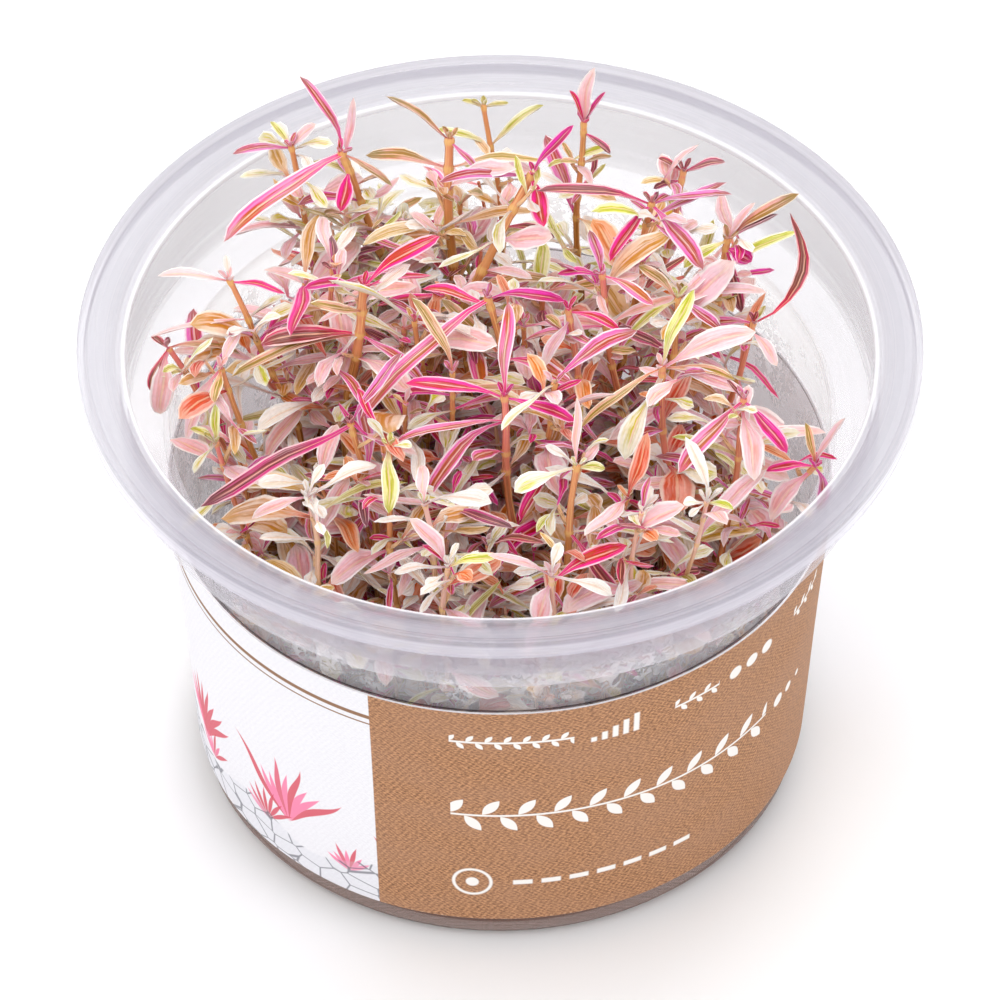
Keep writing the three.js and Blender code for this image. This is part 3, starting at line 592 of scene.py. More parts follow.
# The shoots that show one by one, in millimetres. foot is where the stem leaves the jelly and crown is its
# top. stem is its finish and how thick it is. Each leaf is its finish, how far it sits below the crown, its
# tip's place from there, its width, and where they differ from the usual ones its sideways bend and its
# arch.
SHOWN_SHOOTS = [
    {"foot": (-8, 14), "crown": (-19, 24, 73), "stem": ("ochre", 1.0), "leaves": [
        ("pink", 0, -5, 4, 9, 1.6, -0.1), ("pink", 0, -14, -11, -4, 2.9), ("olive", 0, 6, -4, -1.5, 1.7),
        ("hot", 2, -1, -5, -2, 2.3), ("pale", 1, 1, 5, 6, 1.5)]},
    {"foot": (-20, 20), "crown": (-25, 25, 73), "stem": ("ochre", 0.8), "leaves": [
        ("pink", 0, -7, -1, 0, 2.1), ("green", 0, -2.5, 2, 2.5, 1.4), ("pale", 0, 3, 1, 3, 2.2),
        ("cream", 4, -7, 0, 0, 2), ("cream", 4, 5, -4, -1, 1.9)]},
    {"foot": (-21, -2), "crown": (-32, 4, 71), "stem": ("ochre", 0.8), "leaves": [
        ("pale", 0, -8.5, 0, 1, 1.9), ("hot", 0, 6.5, -1, -1, 1.9), ("white", 0, -0.5, 1.5, 3, 1.1),
        ("pale", 5, -11.5, -2, -1, 1.3), ("cream", 5, 4, 4, 0, 1.7)]},
    {"foot": (-19, -4), "crown": (-16, 2, 72), "stem": ("ochre", 1.25), "leaves": [
        ("hot", 0, 9, 4, 4.5, 2.5), ("hot", 0, -7, 0, 0, 2), ("hot", 0, 8, 1, 1, 1.9),
        ("dark", 6, -11.5, -2, 0, 2.9), ("olive", 6, -15, -5, -2.5, 2.2), ("pink", 6, 8, -6, -3, 2.2)]},
    {"foot": (-27, -4), "crown": (-39.5, 1, 63), "stem": ("red", 0.8), "leaves": [
        ("dark", 0, -2, 1, 1, 1.2), ("dark", 0, -2.2, -3, -4, 1.2, 0, 0.3), ("olive", 0, 8.6, -1, 0, 2.3, 0, 0.3),
        ("pale", 0, -1, -4, -7, 3.4, 0, 0.3)]},
    {"foot": (-26, -9), "crown": (-33, -3, 63.5), "stem": ("ochre", 0.8), "leaves": [
        ("pale", 0, -3.5, -5, -8, 3.6, 0, 0.3), ("olive", 0, 0.5, -4, -2, 1.7), ("pale", 0, 1.5, 4, 3, 1.7)]},
    {"foot": (-28, -15), "crown": (-33.5, -12, 60), "stem": ("red", 0.7), "leaves": [
        ("green", 0, -3, 0.5, 2, 1.7), ("green", 0, 0, 2, 4.5, 1.4), ("cream", 0, -2.5, -4, -1, 1.7),
        ("white", 0, 1.5, 1, 1.2, 1)]},
    {"foot": (-6, 10), "crown": (-6, 22, 77), "stem": ("ochre", 1.2), "leaves": [
        ("olive", 0, -7.5, 3, 4.5, 1.5), ("pink", 0, 3.5, -4, -1.5, 1.4), ("olive", 3, -10, 1.5, 0.5, 2.3),
        ("olive", 3, 11.5, 0.5, 0.5, 2.5)]},
    {"foot": (2, 20), "crown": (-2, 29, 76), "stem": ("ochre", 0.7), "leaves": [
        ("green", 0, -2.6, 0.5, 0.7, 1), ("green", 0, 3, 0.5, 0.2, 1), ("green", 5, -6.5, 2, 1, 1.7),
        ("green", 5, 6.5, 2.5, 4.5, 2), ("pale", 8, 4.5, 1, -1, 2.3)]},
    {"foot": (9, 19), "crown": (10, 27, 75), "stem": ("ochre", 0.8), "leaves": [
        ("hot", 0, -1.7, 1, 4.7, 1), ("hot", 0, 2.6, 1, 4.4, 1), ("pale", 0, 1.3, 2, 7.4, 2.8),
        ("dark", 1, 3.2, -3, -0.7, 1.6), ("olive", 5, -2.6, 0, 0.4, 1), ("olive", 5, 3.6, 0, 1.2, 1)]},
    {"foot": (17, 16), "crown": (22, 24, 70), "stem": ("red", 0.8), "leaves": [
        ("dark", 0, -3, 1, 1.5, 1), ("dark", 0, 5, 0, 1.7, 1.9), ("dark", 1, -3.4, -1, -0.4, 1.2),
        ("pale", 7, 3, -4, 0, 2)]},
    {"foot": (13, 6), "crown": (18, 13, 75), "stem": ("ochre", 0.9), "leaves": [
        ("dark", 0, -13.5, 2, 2.4, 2.7), ("hot", 0, -5, -7, -2.6, 2.5), ("pink", 0, 9.5, 0, 1.7, 2.1),
        ("pink", 0, 6, -8, -3, 2.7)]},
    {"foot": (-15, -4), "crown": (4, 16, 77), "stem": ("ochre", 1.25), "leaves": [
        ("hot", 0, 5, 3.5, 5, 1.5), ("pink", 0, -11, -1, 0, 2.3), ("hot", 0, -0.5, -7, -2, 2.7),
        ("pale", 9, 6, -3, 1, 2)]},
    {"foot": (15, -1), "crown": (12, 4, 72), "stem": ("red", 0.9), "leaves": [
        ("pink", 0, -1.5, 3, 4.6, 1.7), ("hot", 0, -5.3, 0, 0.3, 2), ("pink", 0, 6, -4, -1, 2)]},
    {"foot": (4, -4), "crown": (-1.5, 1, 71), "stem": ("ochre", 1.0), "leaves": [
        ("pink", 0, -15, -13, -7, 2.3, 0, 0.2), ("hot", 0, 9, -1, -1, 2, 0, 0.25), ("hot", 1, -8, 2, 1, 2.5)]},
    {"foot": (11, -8), "crown": (8, 0, 70), "stem": ("red", 0.8), "leaves": [
        ("hot", 0, 6, -2, -1, 1.9), ("cream", 0, -1, 4, 3, 1.7), ("pale", 1, -3, -6, -2, 2)]},
    {"foot": (-13, -17), "crown": (-17.5, -14, 65), "stem": ("ochre", 0.9), "leaves": [
        ("dark", 0, -17.5, -9.5, -4, 2.3, 0.12), ("pink", 0, 6, 6, 6, 1.9), ("pale", 1, 7, -4, -1, 2)]},
    {"foot": (2, -18), "crown": (0.5, -12, 67.5), "stem": ("red", 1.0), "leaves": [
        ("hot", 0, -11.6, 1, 1.5, 2.3), ("hot", 0, 8.3, -3, -1, 2.1), ("pink", 0, 0.5, 8, 8, 2.1),
        ("pink", 3, -8, -9, -6, 2.7, -0.2), ("pink", 3, -13, -4, -2, 1.9)]},
    {"foot": (6, -27), "crown": (9, -20, 64), "stem": ("ochre", 0.95), "leaves": [
        ("cream", 0, -7.3, -3, -1, 2.8), ("green", 0, 3.3, -0.5, 0.3, 1.5), ("white", 0, -3.7, 1, 2.7, 1.3),
        ("pale", 0, 0, 5, 6.6, 1.3), ("cream", 8, 12.5, -2, 0, 1.7), ("dark", 8, 9, -9, -6, 2.5)]},
    {"foot": (-12, -27), "crown": (-13, -18, 65.5), "stem": ("ochre", 0.75), "leaves": [
        ("green", 0, 0, -8, -3, 2.5), ("cream", 0, 2.8, 0, 0.4, 1.5), ("cream", 0, -2.5, 2, 2.7, 1.9),
        ("pale", 13, -9, 0, -2, 3.8), ("pale", 13, 5, 3, 1, 2)]},
    {"foot": (-7, -30), "crown": (-6, -32, 59.5), "stem": ("pale", 0.7), "leaves": [
        ("white", 0, -6.3, 0, -1, 2), ("green", 0, 5.6, 0.6, 1, 1.9), ("white", 0, 1.3, 1, 3, 1.3),
        ("pale", 0, -4.5, 3, 5, 3), ("white", 1, -2.5, -1.5, -1, 1.7)]},
    {"foot": (6, -32), "crown": (6, -33, 59), "stem": ("pale", 0.75), "leaves": [
        ("pale", 0, -7.2, 2, 2.7, 1.9), ("white", 0, 1, 2, 3.7, 1.7), ("white", 0, 7, -2, -1, 2.1),
        ("pale", 1, -1.5, -1.5, -5, 3.4), ("hot", 1, 8.8, 4, 2, 3)]},
    {"foot": (14, -29), "crown": (16.5, -27, 63.5), "stem": ("pale", 0.6), "leaves": [
        ("white", 0, 2, 1, 2, 1.5), ("white", 0, -2.4, 0, -0.6, 1.3), ("pink", 0, 1, 2, 4, 1.1)]},
    {"foot": (21, -24), "crown": (24, -26, 64), "stem": ("pale", 0.6), "leaves": [
        ("white", 0, -2.7, 0, 0, 1.9), ("green", 0, 3.2, 0, -1, 1.7), ("white", 0, 2, 1, 1.5, 1),
        ("white", 0, -2, -1.5, -0.7, 1)]},
    {"foot": (26, -18), "crown": (28.5, -13, 68), "stem": ("red", 0.8), "leaves": [
        ("pink", 0, -7.7, -9, -3, 2.7), ("hot", 0, 5, -6, -2.7, 2.3), ("dark", 0, -2, 1, 2.5, 1),
        ("pale", 1, 1.2, -7, -5.5, 3.4)]},
    {"foot": (28, -12), "crown": (37, -17, 61), "stem": ("red", 0.7), "leaves": [
        ("hot", 0, -6.3, 1, 1.2, 2.1), ("olive", 0, -1.5, 3, 4.5, 1.3), ("pale", 0, 3.5, 2, 6, 1.7),
        ("pink", 0, 0.5, -2.5, -5, 2, 0.3), ("pale", 1, -4.8, -4, -4, 3.8)]},
    {"foot": (23, 5), "crown": (27, 11, 71), "stem": ("ochre", 0.85), "leaves": [
        ("olive", 0, 8.5, 3.5, 4.4, 2.1), ("dark", 0, 6, 1.5, 3, 1.4), ("pale", 0, 3.3, 2.4, 4, 1.6),
        ("green", 0, -5.2, -3, -1.5, 2.1), ("dark", 1, 1.8, -5, -5.7, 2), ("hot", 1, 3, -2, -0.3, 2.8)]},
    {"foot": (25, 0), "crown": (30, 2, 66), "stem": ("red", 0.8), "leaves": [
        ("dark", 0, 4.3, 8, 10.5, 2.1, -0.47, -0.33), ("green", 0, 1.5, 1, 2, 1.4), ("pink", 0, -6, 2, -1, 2),
        ("pale", 1, 3, -4, -2, 2)]},
    {"foot": (20, -14), "crown": (19, -8, 68.5), "stem": ("red", 0.9), "leaves": [
        ("pale", 0, 11, 3, 3, 3.9), ("green", 0, 3.7, 5, 8, 2), ("olive", 0, 8.6, -1, -1, 2),
        ("pale", 0, 9, -4, -1.5, 2.6), ("olive", 0, -9.6, -6, -4, 1.7), ("cream", 1, -4.5, -9, -5, 3.7)]},
    {"foot": (-20, -23), "crown": (-22.5, -22, 61), "stem": ("pale", 0.7), "leaves": [
        ("white", 0, 8.5, 2, 2, 3.1), ("white", 0, 2, 2, 3.5, 1.5), ("white", 0, 2, -2.5, -1, 1.7),
        ("pale", 0, -6.5, -2, -1.5, 2.3)]},
    {"foot": (19, -4), "crown": (21, 3, 69), "stem": ("ochre", 0.8), "leaves": [
        ("green", 0, -5.7, -4, -1.7, 1.9), ("olive", 0, -5, 3, 2, 1.9), ("pale", 0, 4, 3, 3, 1.7),
        ("pink", 0, 5, -4, -1, 1.9)]},
]

# The ways a leaf or a foot may have given way to its neighbours: turn and lift in degrees and share of
# length, and millimetres. Both are the ones that the solids were grown with.
LEAF_CHOICES = [
    (0, 0, 1), (9, 0, 1), (-9, 0, 1), (0, 10, 1), (0, -10, 1), (18, 8, 1), (-18, 8, 1), (18, -9, 0.9),
    (-18, -9, 0.9), (0, 0, 0.8), (32, 0, 0.85), (-32, 0, 0.85), (0, 24, 0.8), (45, 15, 0.7), (-45, 15, 0.7),
    (0, 35, 0.5),
]
FOOT_CHOICES = [(0, 0), (2, 0), (-2, 0), (0, 2), (0, -2), (3, 3), (-3, 3), (3, -3), (-3, -3), (5, 0), (-5, 0)]

# What each kind of leaf looks like: the blade, its blotched middle, its foot at the stem, its tip and its
# margin, which is pale partly as a painted edge highlight, how much of it the blotch covers, and its outline
LEAF_KINDS = {
    "pink": ((244, 152, 200), (180, 96, 62), (242, 98, 160), (168, 112, 84), (255, 236, 242), 0.44, "lance"),
    "hot": ((242, 92, 166), (184, 64, 54), (244, 108, 172), (214, 88, 122), (255, 214, 228), 0.44, "lance"),
    "dark": ((210, 104, 136), (112, 54, 44), (234, 98, 146), (98, 64, 56), (252, 212, 214), 0.58, "lance"),
    "olive": ((240, 190, 172), (156, 126, 44), (234, 140, 142), (134, 122, 46), (255, 242, 222), 0.46, "lance"),
    "green": ((244, 236, 188), (180, 174, 52), (240, 208, 172), (170, 164, 60), (255, 251, 232), 0.44, "lance"),
    "cream": ((253, 245, 228), (206, 196, 78), (246, 216, 202), (250, 246, 222), (255, 255, 250), 0.30, "spoon"),
    "white": ((255, 247, 241), (246, 228, 206), (250, 208, 212), (255, 248, 240), (255, 254, 252), 0.24, "spoon"),
    "pale": ((252, 214, 220), (240, 180, 176), (246, 152, 178), (250, 228, 218), (255, 246, 244), 0.28, "broad"),
    "salmon": ((250, 186, 164), (218, 124, 92), (240, 130, 128), (242, 190, 160), (255, 230, 214), 0.36, "broad"),
    "tan": ((250, 222, 194), (204, 154, 92), (236, 156, 134), (216, 178, 118), (255, 244, 230), 0.44, "broad"),
}
STEM_KINDS = {
    "ochre": ((118, 98, 40), (188, 126, 56), (224, 146, 100)),
    "red": ((136, 92, 44), (196, 118, 70), (230, 124, 120)),
    "pale": ((168, 140, 88), (228, 184, 142), (246, 196, 190)),
}


def leaf_marks():
    """What every leaf's surface shares, as a node group: the colours' places, its veins and its gloss."""
    tree = bpy.data.node_groups.new("leaf_marks", "ShaderNodeTree")
    for name in ("Blade", "Middle", "Foot", "Tip", "Margin"):
        tree.interface.new_socket(name, in_out="INPUT", socket_type="NodeSocketColor")
    tree.interface.new_socket("Blotch", in_out="INPUT", socket_type="NodeSocketFloat")
    tree.interface.new_socket("Colour", in_out="OUTPUT", socket_type="NodeSocketColor")
    for name in ("Relief", "Gloss"):
        tree.interface.new_socket(name, in_out="OUTPUT", socket_type="NodeSocketFloat")
    given = tree.nodes.new("NodeGroupInput")
    given_out = given.outputs
    sheet = add_node(tree, "ShaderNodeUVMap", uv_map="blade").outputs[0]
    spot = add_node(tree, "ShaderNodeSeparateXYZ", {0: sheet})
    around, along = spot.outputs["X"], spot.outputs["Y"]
    lot = add_node(tree, "ShaderNodeAttribute", attribute_name="leaf_lot").outputs["Fac"]
    across = times_plus(tree, math_of(tree, "PINGPONG", around, 0.5), 4, -1)
    away = size_of(tree, across)
    lengthwise = vector_of(tree, times(tree, across, 2.2), times(tree, along, 1.6), times(tree, lot, 53))
    streaks = noise(tree, lengthwise, 1.5, 2, Roughness=0.6)
    threads = vector_of(tree, times(tree, across, 8), times(tree, along, 1.8), times(tree, lot, 31))
    fine = noise(tree, threads, 1.0, 2)
    place = object_place(tree)
    tissue = noise(tree, place, 2300, 0)
    soft = noise(tree, place, 260, 0)

    # Blotches lie along the midrib, start past the leaf's foot, lean to one side and fade at their edges
    lean = times(tree, across, times_plus(tree, lot, 0.9, -0.45))
    cover = times_plus(tree, away, -0.85, plus(tree, lean, given_out["Blotch"]))
    cover = times_plus(tree, minus(tree, streaks, 0.5), 1.5, cover)
    reach = times(tree, ramp(tree, along, 0.10, 0.48), ramp(tree, along, 0.86, 0.98, 1, 0.3))
    blotch = times(tree, ramp(tree, cover, -0.08, 0.26), reach)
    colour = mix_colour(tree, times(tree, blotch, 0.94), given_out["Blade"], given_out["Middle"])
    colour = mix_colour(tree, ramp(tree, along, 0.03, 0.38, 0.9, 0), colour, given_out["Foot"])
    tip_start = times_plus(tree, lot, 0.14, 0.74)
    colour = mix_colour(tree, times(tree, ramp(tree, minus(tree, along, tip_start),
                                               0, 0.16), 0.75), colour, given_out["Tip"])
    colour = mix_colour(tree, ramp(tree, fine, 0.52, 0.72, 0, 0.38), colour, given_out["Margin"])
    colour = mix_colour(tree, ramp(tree, fine, 0.46, 0.28, 0, 0.30), colour, given_out["Middle"])
    vein = math_of(tree, "SINE", times(tree, away, 17))
    vein = times(tree, vein, ramp(tree, away, 0.1, 0.3))
    colour = mix_colour(tree, times_plus(tree, vein, 0.06, 0.06), colour, given_out["Margin"])
    rib_colour = mix_colour(tree, 0.4, given_out["Margin"], paint(240, 166, 104))
    rib = times(tree, ramp(tree, away, 0.05, 0.13, 1, 0), ramp(tree, along, 0.80, 0.96, 0.85, 0))
    colour = mix_colour(tree, rib, colour, rib_colour)
    # Pale margins: partly the leaf's own pale edge, partly a painted edge highlight
    colour = mix_colour(tree, ramp(tree, away, 0.72, 0.88, 0, 0.95), colour, given_out["Margin"])
    below = math_of(tree, "GREATER_THAN", around, 0.5)
    colour = mix_colour(tree, times(tree, below, 0.25), colour, given_out["Margin"])
    bright = times_plus(tree, lot, 0.22, 0.78)
    bright = times_plus(tree, tissue, 0.14, bright)
    bright = times_plus(tree, soft, 0.20, minus(tree, bright, 0.15))
    tint = add_node(tree, "ShaderNodeHueSaturation", {
        "Hue": times_plus(tree, lot, 0.036, 0.480),
        "Saturation": times_plus(tree, soft, 0.5, 1.04), "Value": bright, "Color": colour})
    relief = times_plus(tree, fine, 0.9, times(tree, vein, 0.3))
    relief = times_plus(tree, rib, -0.8, relief)
    gloss = times_plus(tree, soft, 0.25, 0.24)
    made = tree.nodes.new("NodeGroupOutput")
    tree.links.new(tint.outputs[0], made.inputs["Colour"])
    tree.links.new(relief, made.inputs["Relief"])
    tree.links.new(gloss, made.inputs["Gloss"])
    return tree


def leaf_finish(name, marks):
    blade, middle, foot, tip, margin, blotch, outline = LEAF_KINDS[name]
    finish, tree, shader = new_finish(name + "_leaf")
    surface = tree.nodes.new("ShaderNodeGroup")
    surface.node_tree = marks
    for socket, colour in zip(("Blade", "Middle", "Foot", "Tip", "Margin"), (blade, middle, foot, tip, margin)):
        surface.inputs[socket].default_value = paint(*colour)
    surface.inputs["Blotch"].default_value = blotch
    given = surface.outputs
    dress(tree, shader, given["Colour"], given["Gloss"], given["Relief"], 0.55, 0.15)
    return finish


def stem_finish(name):
    """A stem's skin: olive at its foot, pinker at its crown, with pale long lines and a ring at every joint."""
    low, middle, high = (paint(*colour) for colour in STEM_KINDS[name])
    finish, tree, shader = new_finish(name + "_stem")
    sheet = add_node(tree, "ShaderNodeUVMap", uv_map="blade").outputs[0]
    spot = add_node(tree, "ShaderNodeSeparateXYZ", {0: sheet})
    around, along = spot.outputs["X"], spot.outputs["Y"]
    knot = add_node(tree, "ShaderNodeAttribute", attribute_name="leaf_lot").outputs["Fac"]
    lines = vector_of(tree, times(tree, around, 9), times(tree, along, 5))
    streaks = noise(tree, lines, 1, 3)
    place = object_place(tree)
    soft = noise(tree, place, 150, 2)
    rise = plus(tree, along, times_plus(tree, soft, 0.5, -0.25))
    colour = mix_colour(tree, ramp(tree, rise, 0.05, 0.5), low, middle)
    colour = mix_colour(tree, ramp(tree, rise, 0.62, 1.0), colour, high)
    colour = mix_colour(tree, ramp(tree, streaks, 0.5, 0.68, 0, 0.75), colour, paint(250, 206, 136))
    colour = mix_colour(tree, ramp(tree, streaks, 0.45, 0.3, 0, 0.6), colour, paint(118, 74, 30))
    colour = mix_colour(tree, ramp(tree, knot, 0.35, 0.8, 0, 0.55), colour, paint(232, 190, 110))
    dress(tree, shader, colour, ramp(tree, streaks, 0.3, 0.7, 0.24, 0.4), streaks, 0.5, 0.12)
    return finish


marks = leaf_marks()
PLANT_FINISHES = [leaf_finish(name, marks) for name in LEAF_KINDS] + [stem_finish(name) for name in STEM_KINDS]
FINISH_NAMES = [*LEAF_KINDS, *(key + "_stem" for key in STEM_KINDS)]
FINISH_NUMBER = {name: number for number, name in enumerate(FINISH_NAMES)}
UP = Vector((0, 0, 1))
QUARTER_TURN = math.pi / 2
BOTH_SIDES = (0, math.pi)

# Even draws that every run repeats, the same as the solids were grown with
DRAW_STEP = 16807
DRAW_CYCLE = 2147483647
draw_state = 1


def restart_draws(state):
    global draw_state
    draw_state = state


def draw(low, high):
    global draw_state
    draw_state = draw_state * DRAW_STEP % DRAW_CYCLE
    return low + (high - low) * draw_state / DRAW_CYCLE


def on_curve(curve, share):
    start, middle, end = curve
    rest = 1 - share
    return start * rest * rest + middle * (2 * share * rest) + end * share * share


def along_curve(curve, share):
    start, middle, end = curve
    return ((middle - start) * (1 - share) + (end - middle) * share).normalized()


def stem_curve(foot, crown):
    start = Vector((foot[0], foot[1], STEM_START))
    end = Vector(crown)
    return start, Vector((foot[0], foot[1], start.z + (end.z - start.z) * STEM_UPRIGHT)), end


def share_at_height(curve, height):
    """How far along the stem it reaches a height."""
    low, high = 0.0, 1.0
    for _ in range(24):
        middle = (low + high) / 2
        if on_curve(curve, middle).z < height:
            low = middle
        else:
            high = middle
    return (low + high) / 2


def on_stem(curve, height):
    """The middle of the stem at a height. Between foot and crown it sways a little off the plain curve."""
    share = share_at_height(curve, height)
    phase = 3 * curve[0].x + 5 * curve[0].y
    sway = Vector((math.sin(0.23 * height + phase), math.cos(0.29 * height + 2 * phase), 0))
    point = on_curve(curve, share) + sway * (STEM_SWAY * math.sin(math.pi * share))
    point.z = height
    return point


def solid_joint(curve, down):
    """The point on the solid's stem, which goes in straight lengths, that lies this far below the crown."""
    height = curve[2].z - down
    stops = [1 - (1 - step / STEM_STEPS) ** STEM_CROWDING for step in range(STEM_STEPS + 1)]
    for low, high in reversed(list(zip(stops, stops[1:]))):
        below, above = on_curve(curve, low), on_curve(curve, high)
        if height >= below.z:
            return below.lerp(above, (height - below.z) / (above.z - below.z))
    return curve[0].copy()


def leaf_curve(joint, leaf, choice=(0, 0, 1)):
    azimuth = leaf["azimuth"] + math.radians(choice[0])
    rise = leaf["rise"] + math.radians(choice[1])
    length = leaf["length"] * choice[2]
    outward = Vector((math.cos(azimuth), math.sin(azimuth), 0))
    side = Vector((-outward.y, outward.x, 0))
    along = outward * math.cos(rise) + UP * math.sin(rise)
    above = UP * math.cos(rise) - outward * math.sin(rise)
    control = joint + along * (length * 0.45) + above * (length * leaf["arch"]) + side * (length * leaf["bend"])
    return (joint, control, joint + along * length), side


def listed_leaf(kind, down, x, y, z, width, bend=0, arch=LEAF_ARCH):
    flat = math.hypot(x, y)
    return {"kind": kind, "down": down, "width": width, "bend": bend, "arch": arch, "azimuth": math.atan2(y, x),
            "rise": math.atan2(z, flat), "length": math.hypot(flat, z)}


def leaf_pair(down, azimuth, size):
    pair = []
    for half in BOTH_SIDES:
        pair.append({
            "kind": None, "down": down, "azimuth": azimuth + half + math.radians(draw(-15, 15)),
            "rise": math.radians(draw(-12, 38)), "length": size * draw(7, 12.5), "width": draw(1.8, 3.1),
            "bend": draw(-0.12, 0.12), "arch": draw(0.08, 0.24)})
    return pair


def leaf_plan(shoot, index):
    restart_draws((index + 1) * 104729)
    leaves = [listed_leaf(*leaf) for leaf in shoot["leaves"]]
    turn_of_top = draw(0, math.pi)
    listed = bool(leaves)
    if not listed:
        leaves += leaf_pair(0, turn_of_top, 1.05)
    first = max(leaf["down"] for leaf in leaves) + 7 if listed else 6
    leaves += leaf_pair(first, turn_of_top + QUARTER_TURN, 1)
    if not listed:
        leaves += leaf_pair(first + 8, turn_of_top, 0.85)
    return leaves


def filling_shoots(count):
    feet = [shoot["foot"] for shoot in SHOWN_SHOOTS]
    shoots = []
    for turn in range(SPIRAL_TURNS):
        radius = BED_RADIUS * math.sqrt((turn + 0.5) / SPIRAL_TURNS)
        angle = math.radians(turn * GOLDEN_ANGLE)
        foot = (radius * math.cos(angle), radius * math.sin(angle))
        if len(shoots) < count and all(math.dist(other, foot) > FOOT_SPACING for other in feet):
            restart_draws(turn * 7919 + 17)
            dome = 75 + 0.08 * foot[1] - 0.01 * radius * radius
            crown = (foot[0] * 1.1 + draw(-3, 3), foot[1] * 1.1 + draw(-3, 3), dome - draw(1, 15))
            feet.append(foot)
            shoots.append({"foot": foot, "crown": crown, "stem": None, "leaves": []})
    return shoots


# Where along its length each outline leaves its stalk, is full and starts to round off, and how wide its
# stalk is
OUTLINES = {
    "lance": (0.08, 0.60, 0.66, 0.19), "ribbon": (0.03, 0.48, 0.74, 0.34), "broad": (0.12, 0.52, 0.60, 0.15),
    "spoon": (0.34, 0.72, 0.76, 0.20),
}


def outline_at(share, outline):
    """How wide a leaf is at a share of its length, beside its widest place."""
    neck, full, shoulder, stalk = OUTLINES[outline]
    grow = min(max((share - neck) / (full - neck), 0), 1)
    wide = stalk + (1 - stalk) * grow * grow * (3 - 2 * grow)
    if share > shoulder:
        wide *= max(1 - ((share - shoulder) / (1 - shoulder)) ** 2.2, 0) ** 0.6
    return wide


def add_leaf(bm, layers, curve, side, width, kind, lot, columns=8, rows=8, twist=0.0, fold=0.3):
    """Rolls a grid into one thin closed leaf: its upper and lower faces meet at the margins and at both ends."""
    sheet_uv, lot_layer = layers
    verts = bmesh.ops.create_grid(bm, x_segments=columns, y_segments=rows, size=0.5)["verts"]
    outline = LEAF_KINDS[kind][6]
    reach = (curve[2] - curve[0]).length
    if outline == "lance" and reach > RIBBON_LENGTH:
        outline = "ribbon"
    places = {}
    for vert in verts:
        around = vert.co.x + 0.5
        along = 1 - (1 - (vert.co.y + 0.5)) ** 1.25
        places[vert] = (around, along)
        across = 4 * around - 1 if around <= 0.5 else 3 - 4 * around
        half = width / 2 * outline_at(along, outline)
        turn = twist * along
        forward = along_curve(curve, along)
        flat_normal = forward.cross(side).normalized()
        if flat_normal.z < 0 and twist == 0:
            flat_normal = -flat_normal
        level = side * math.cos(turn) + flat_normal * math.sin(turn)
        normal = flat_normal * math.cos(turn) - side * math.sin(turn)
        edge = abs(across)
        lift = half * (fold * edge - 0.16 * edge ** 4) + 0.10 * half * edge * math.sin(along * 9 + lot * 40)
        if around > 0.5 and edge < 0.999:
            lift -= (0.16 + 0.16 * (1 - edge)) * min(1, 4 * along) * min(1, 8 * (1 - along)) + 0.02
        wave = side * (0.022 * reach * math.sin(math.tau * along + 6 * lot) * math.sin(math.pi * along))
        vert.co = (on_curve(curve, along) + wave + level * (across * half) + normal * lift) * MM
        vert[lot_layer] = lot
    faces = {face for vert in verts for face in vert.link_faces}
    number = FINISH_NUMBER[kind]
    for face in faces:
        face.material_index = number
        for loop in face.loops:
            loop[sheet_uv].uv = places[loop.vert]
    return verts


def add_stem(bm, layers, points, radii, finish, knots=None, sides=8):
    """Rolls a grid into a round stem that is closed at both ends. knots marks its joints, from 0 to 1."""
    sheet_uv, lot_layer = layers
    points = [points[0], *points, points[-1]]
    radii = [0.0, *radii, 0.0]
    knots = [0.0, *knots, 0.0] if knots else [0.0] * len(points)
    rows = len(points) - 1
    verts = bmesh.ops.create_grid(bm, x_segments=sides, y_segments=rows, size=0.5)["verts"]
    places = {}
    for vert in verts:
        turn = math.tau * (vert.co.x + 0.5)
        row = round((vert.co.y + 0.5) * rows)
        places[vert] = (vert.co.x + 0.5, vert.co.y + 0.5)
        forward = (points[min(row + 1, rows)] - points[max(row - 1, 0)]).normalized()
        level = Vector((0, 1, 0)).cross(forward).normalized()
        front = forward.cross(level)
        spoke = level * math.cos(turn) + front * math.sin(turn)
        vert.co = (points[row] + spoke * radii[row]) * MM
        vert[lot_layer] = knots[row]
    number = FINISH_NUMBER[finish + "_stem"]
    for face in {face for vert in verts for face in vert.link_faces}:
        face.material_index = number
        for loop in face.loops:
            loop[sheet_uv].uv = places[loop.vert]


def close_up(bm):
    """Joins the rolled grids' seams and ends, and keeps the leaves' margins crisp."""
    bmesh.ops.remove_doubles(bm, verts=bm.verts, dist=0.002 * MM)
    bmesh.ops.recalc_face_normals(bm, faces=bm.faces)
    for edge in bm.edges:
        edge.smooth = edge.calc_face_angle(0) < math.radians(70)


def new_growth():
    bm = bmesh.new()
    return bm, (bm.loops.layers.uv.new("blade"), bm.verts.layers.float.new("leaf_lot"))


def stem_rings(curve, thickness, knots):
    """Points and radii up a stem, with a swelling at each height where leaves join."""
    heights = [STEM_START - 0.6 + (curve[2].z - STEM_START + 0.6) * step / 12 for step in range(13)]
    for knot in knots:
        heights += [knot - 0.7, knot, knot + 0.6]
    heights = sorted(height for height in heights if STEM_START - 0.7 < height <= curve[2].z)
    points, radii, swells = [], [], []
    for height in heights:
        share = (height - STEM_START) / (curve[2].z - STEM_START)
        swell = max((math.exp(-((height - knot) / 0.5) ** 2) for knot in knots), default=0)
        points.append(on_stem(curve, height))
        radii.append(thickness * (0.62 - 0.22 * share) * (1 + 0.42 * swell))
        swells.append(swell)
    return points, radii, swells


def room_at(height):
    """The clear radius inside the cup at a height."""
    if height > CUP_HEIGHT:
        return RIM_RADIUS - 1.5
    if height > LEDGE_UNDERSIDE + LEDGE_THICKNESS:
        return COLLAR_INSIDE - 1
    return body_radius(height) - WALL - 0.8


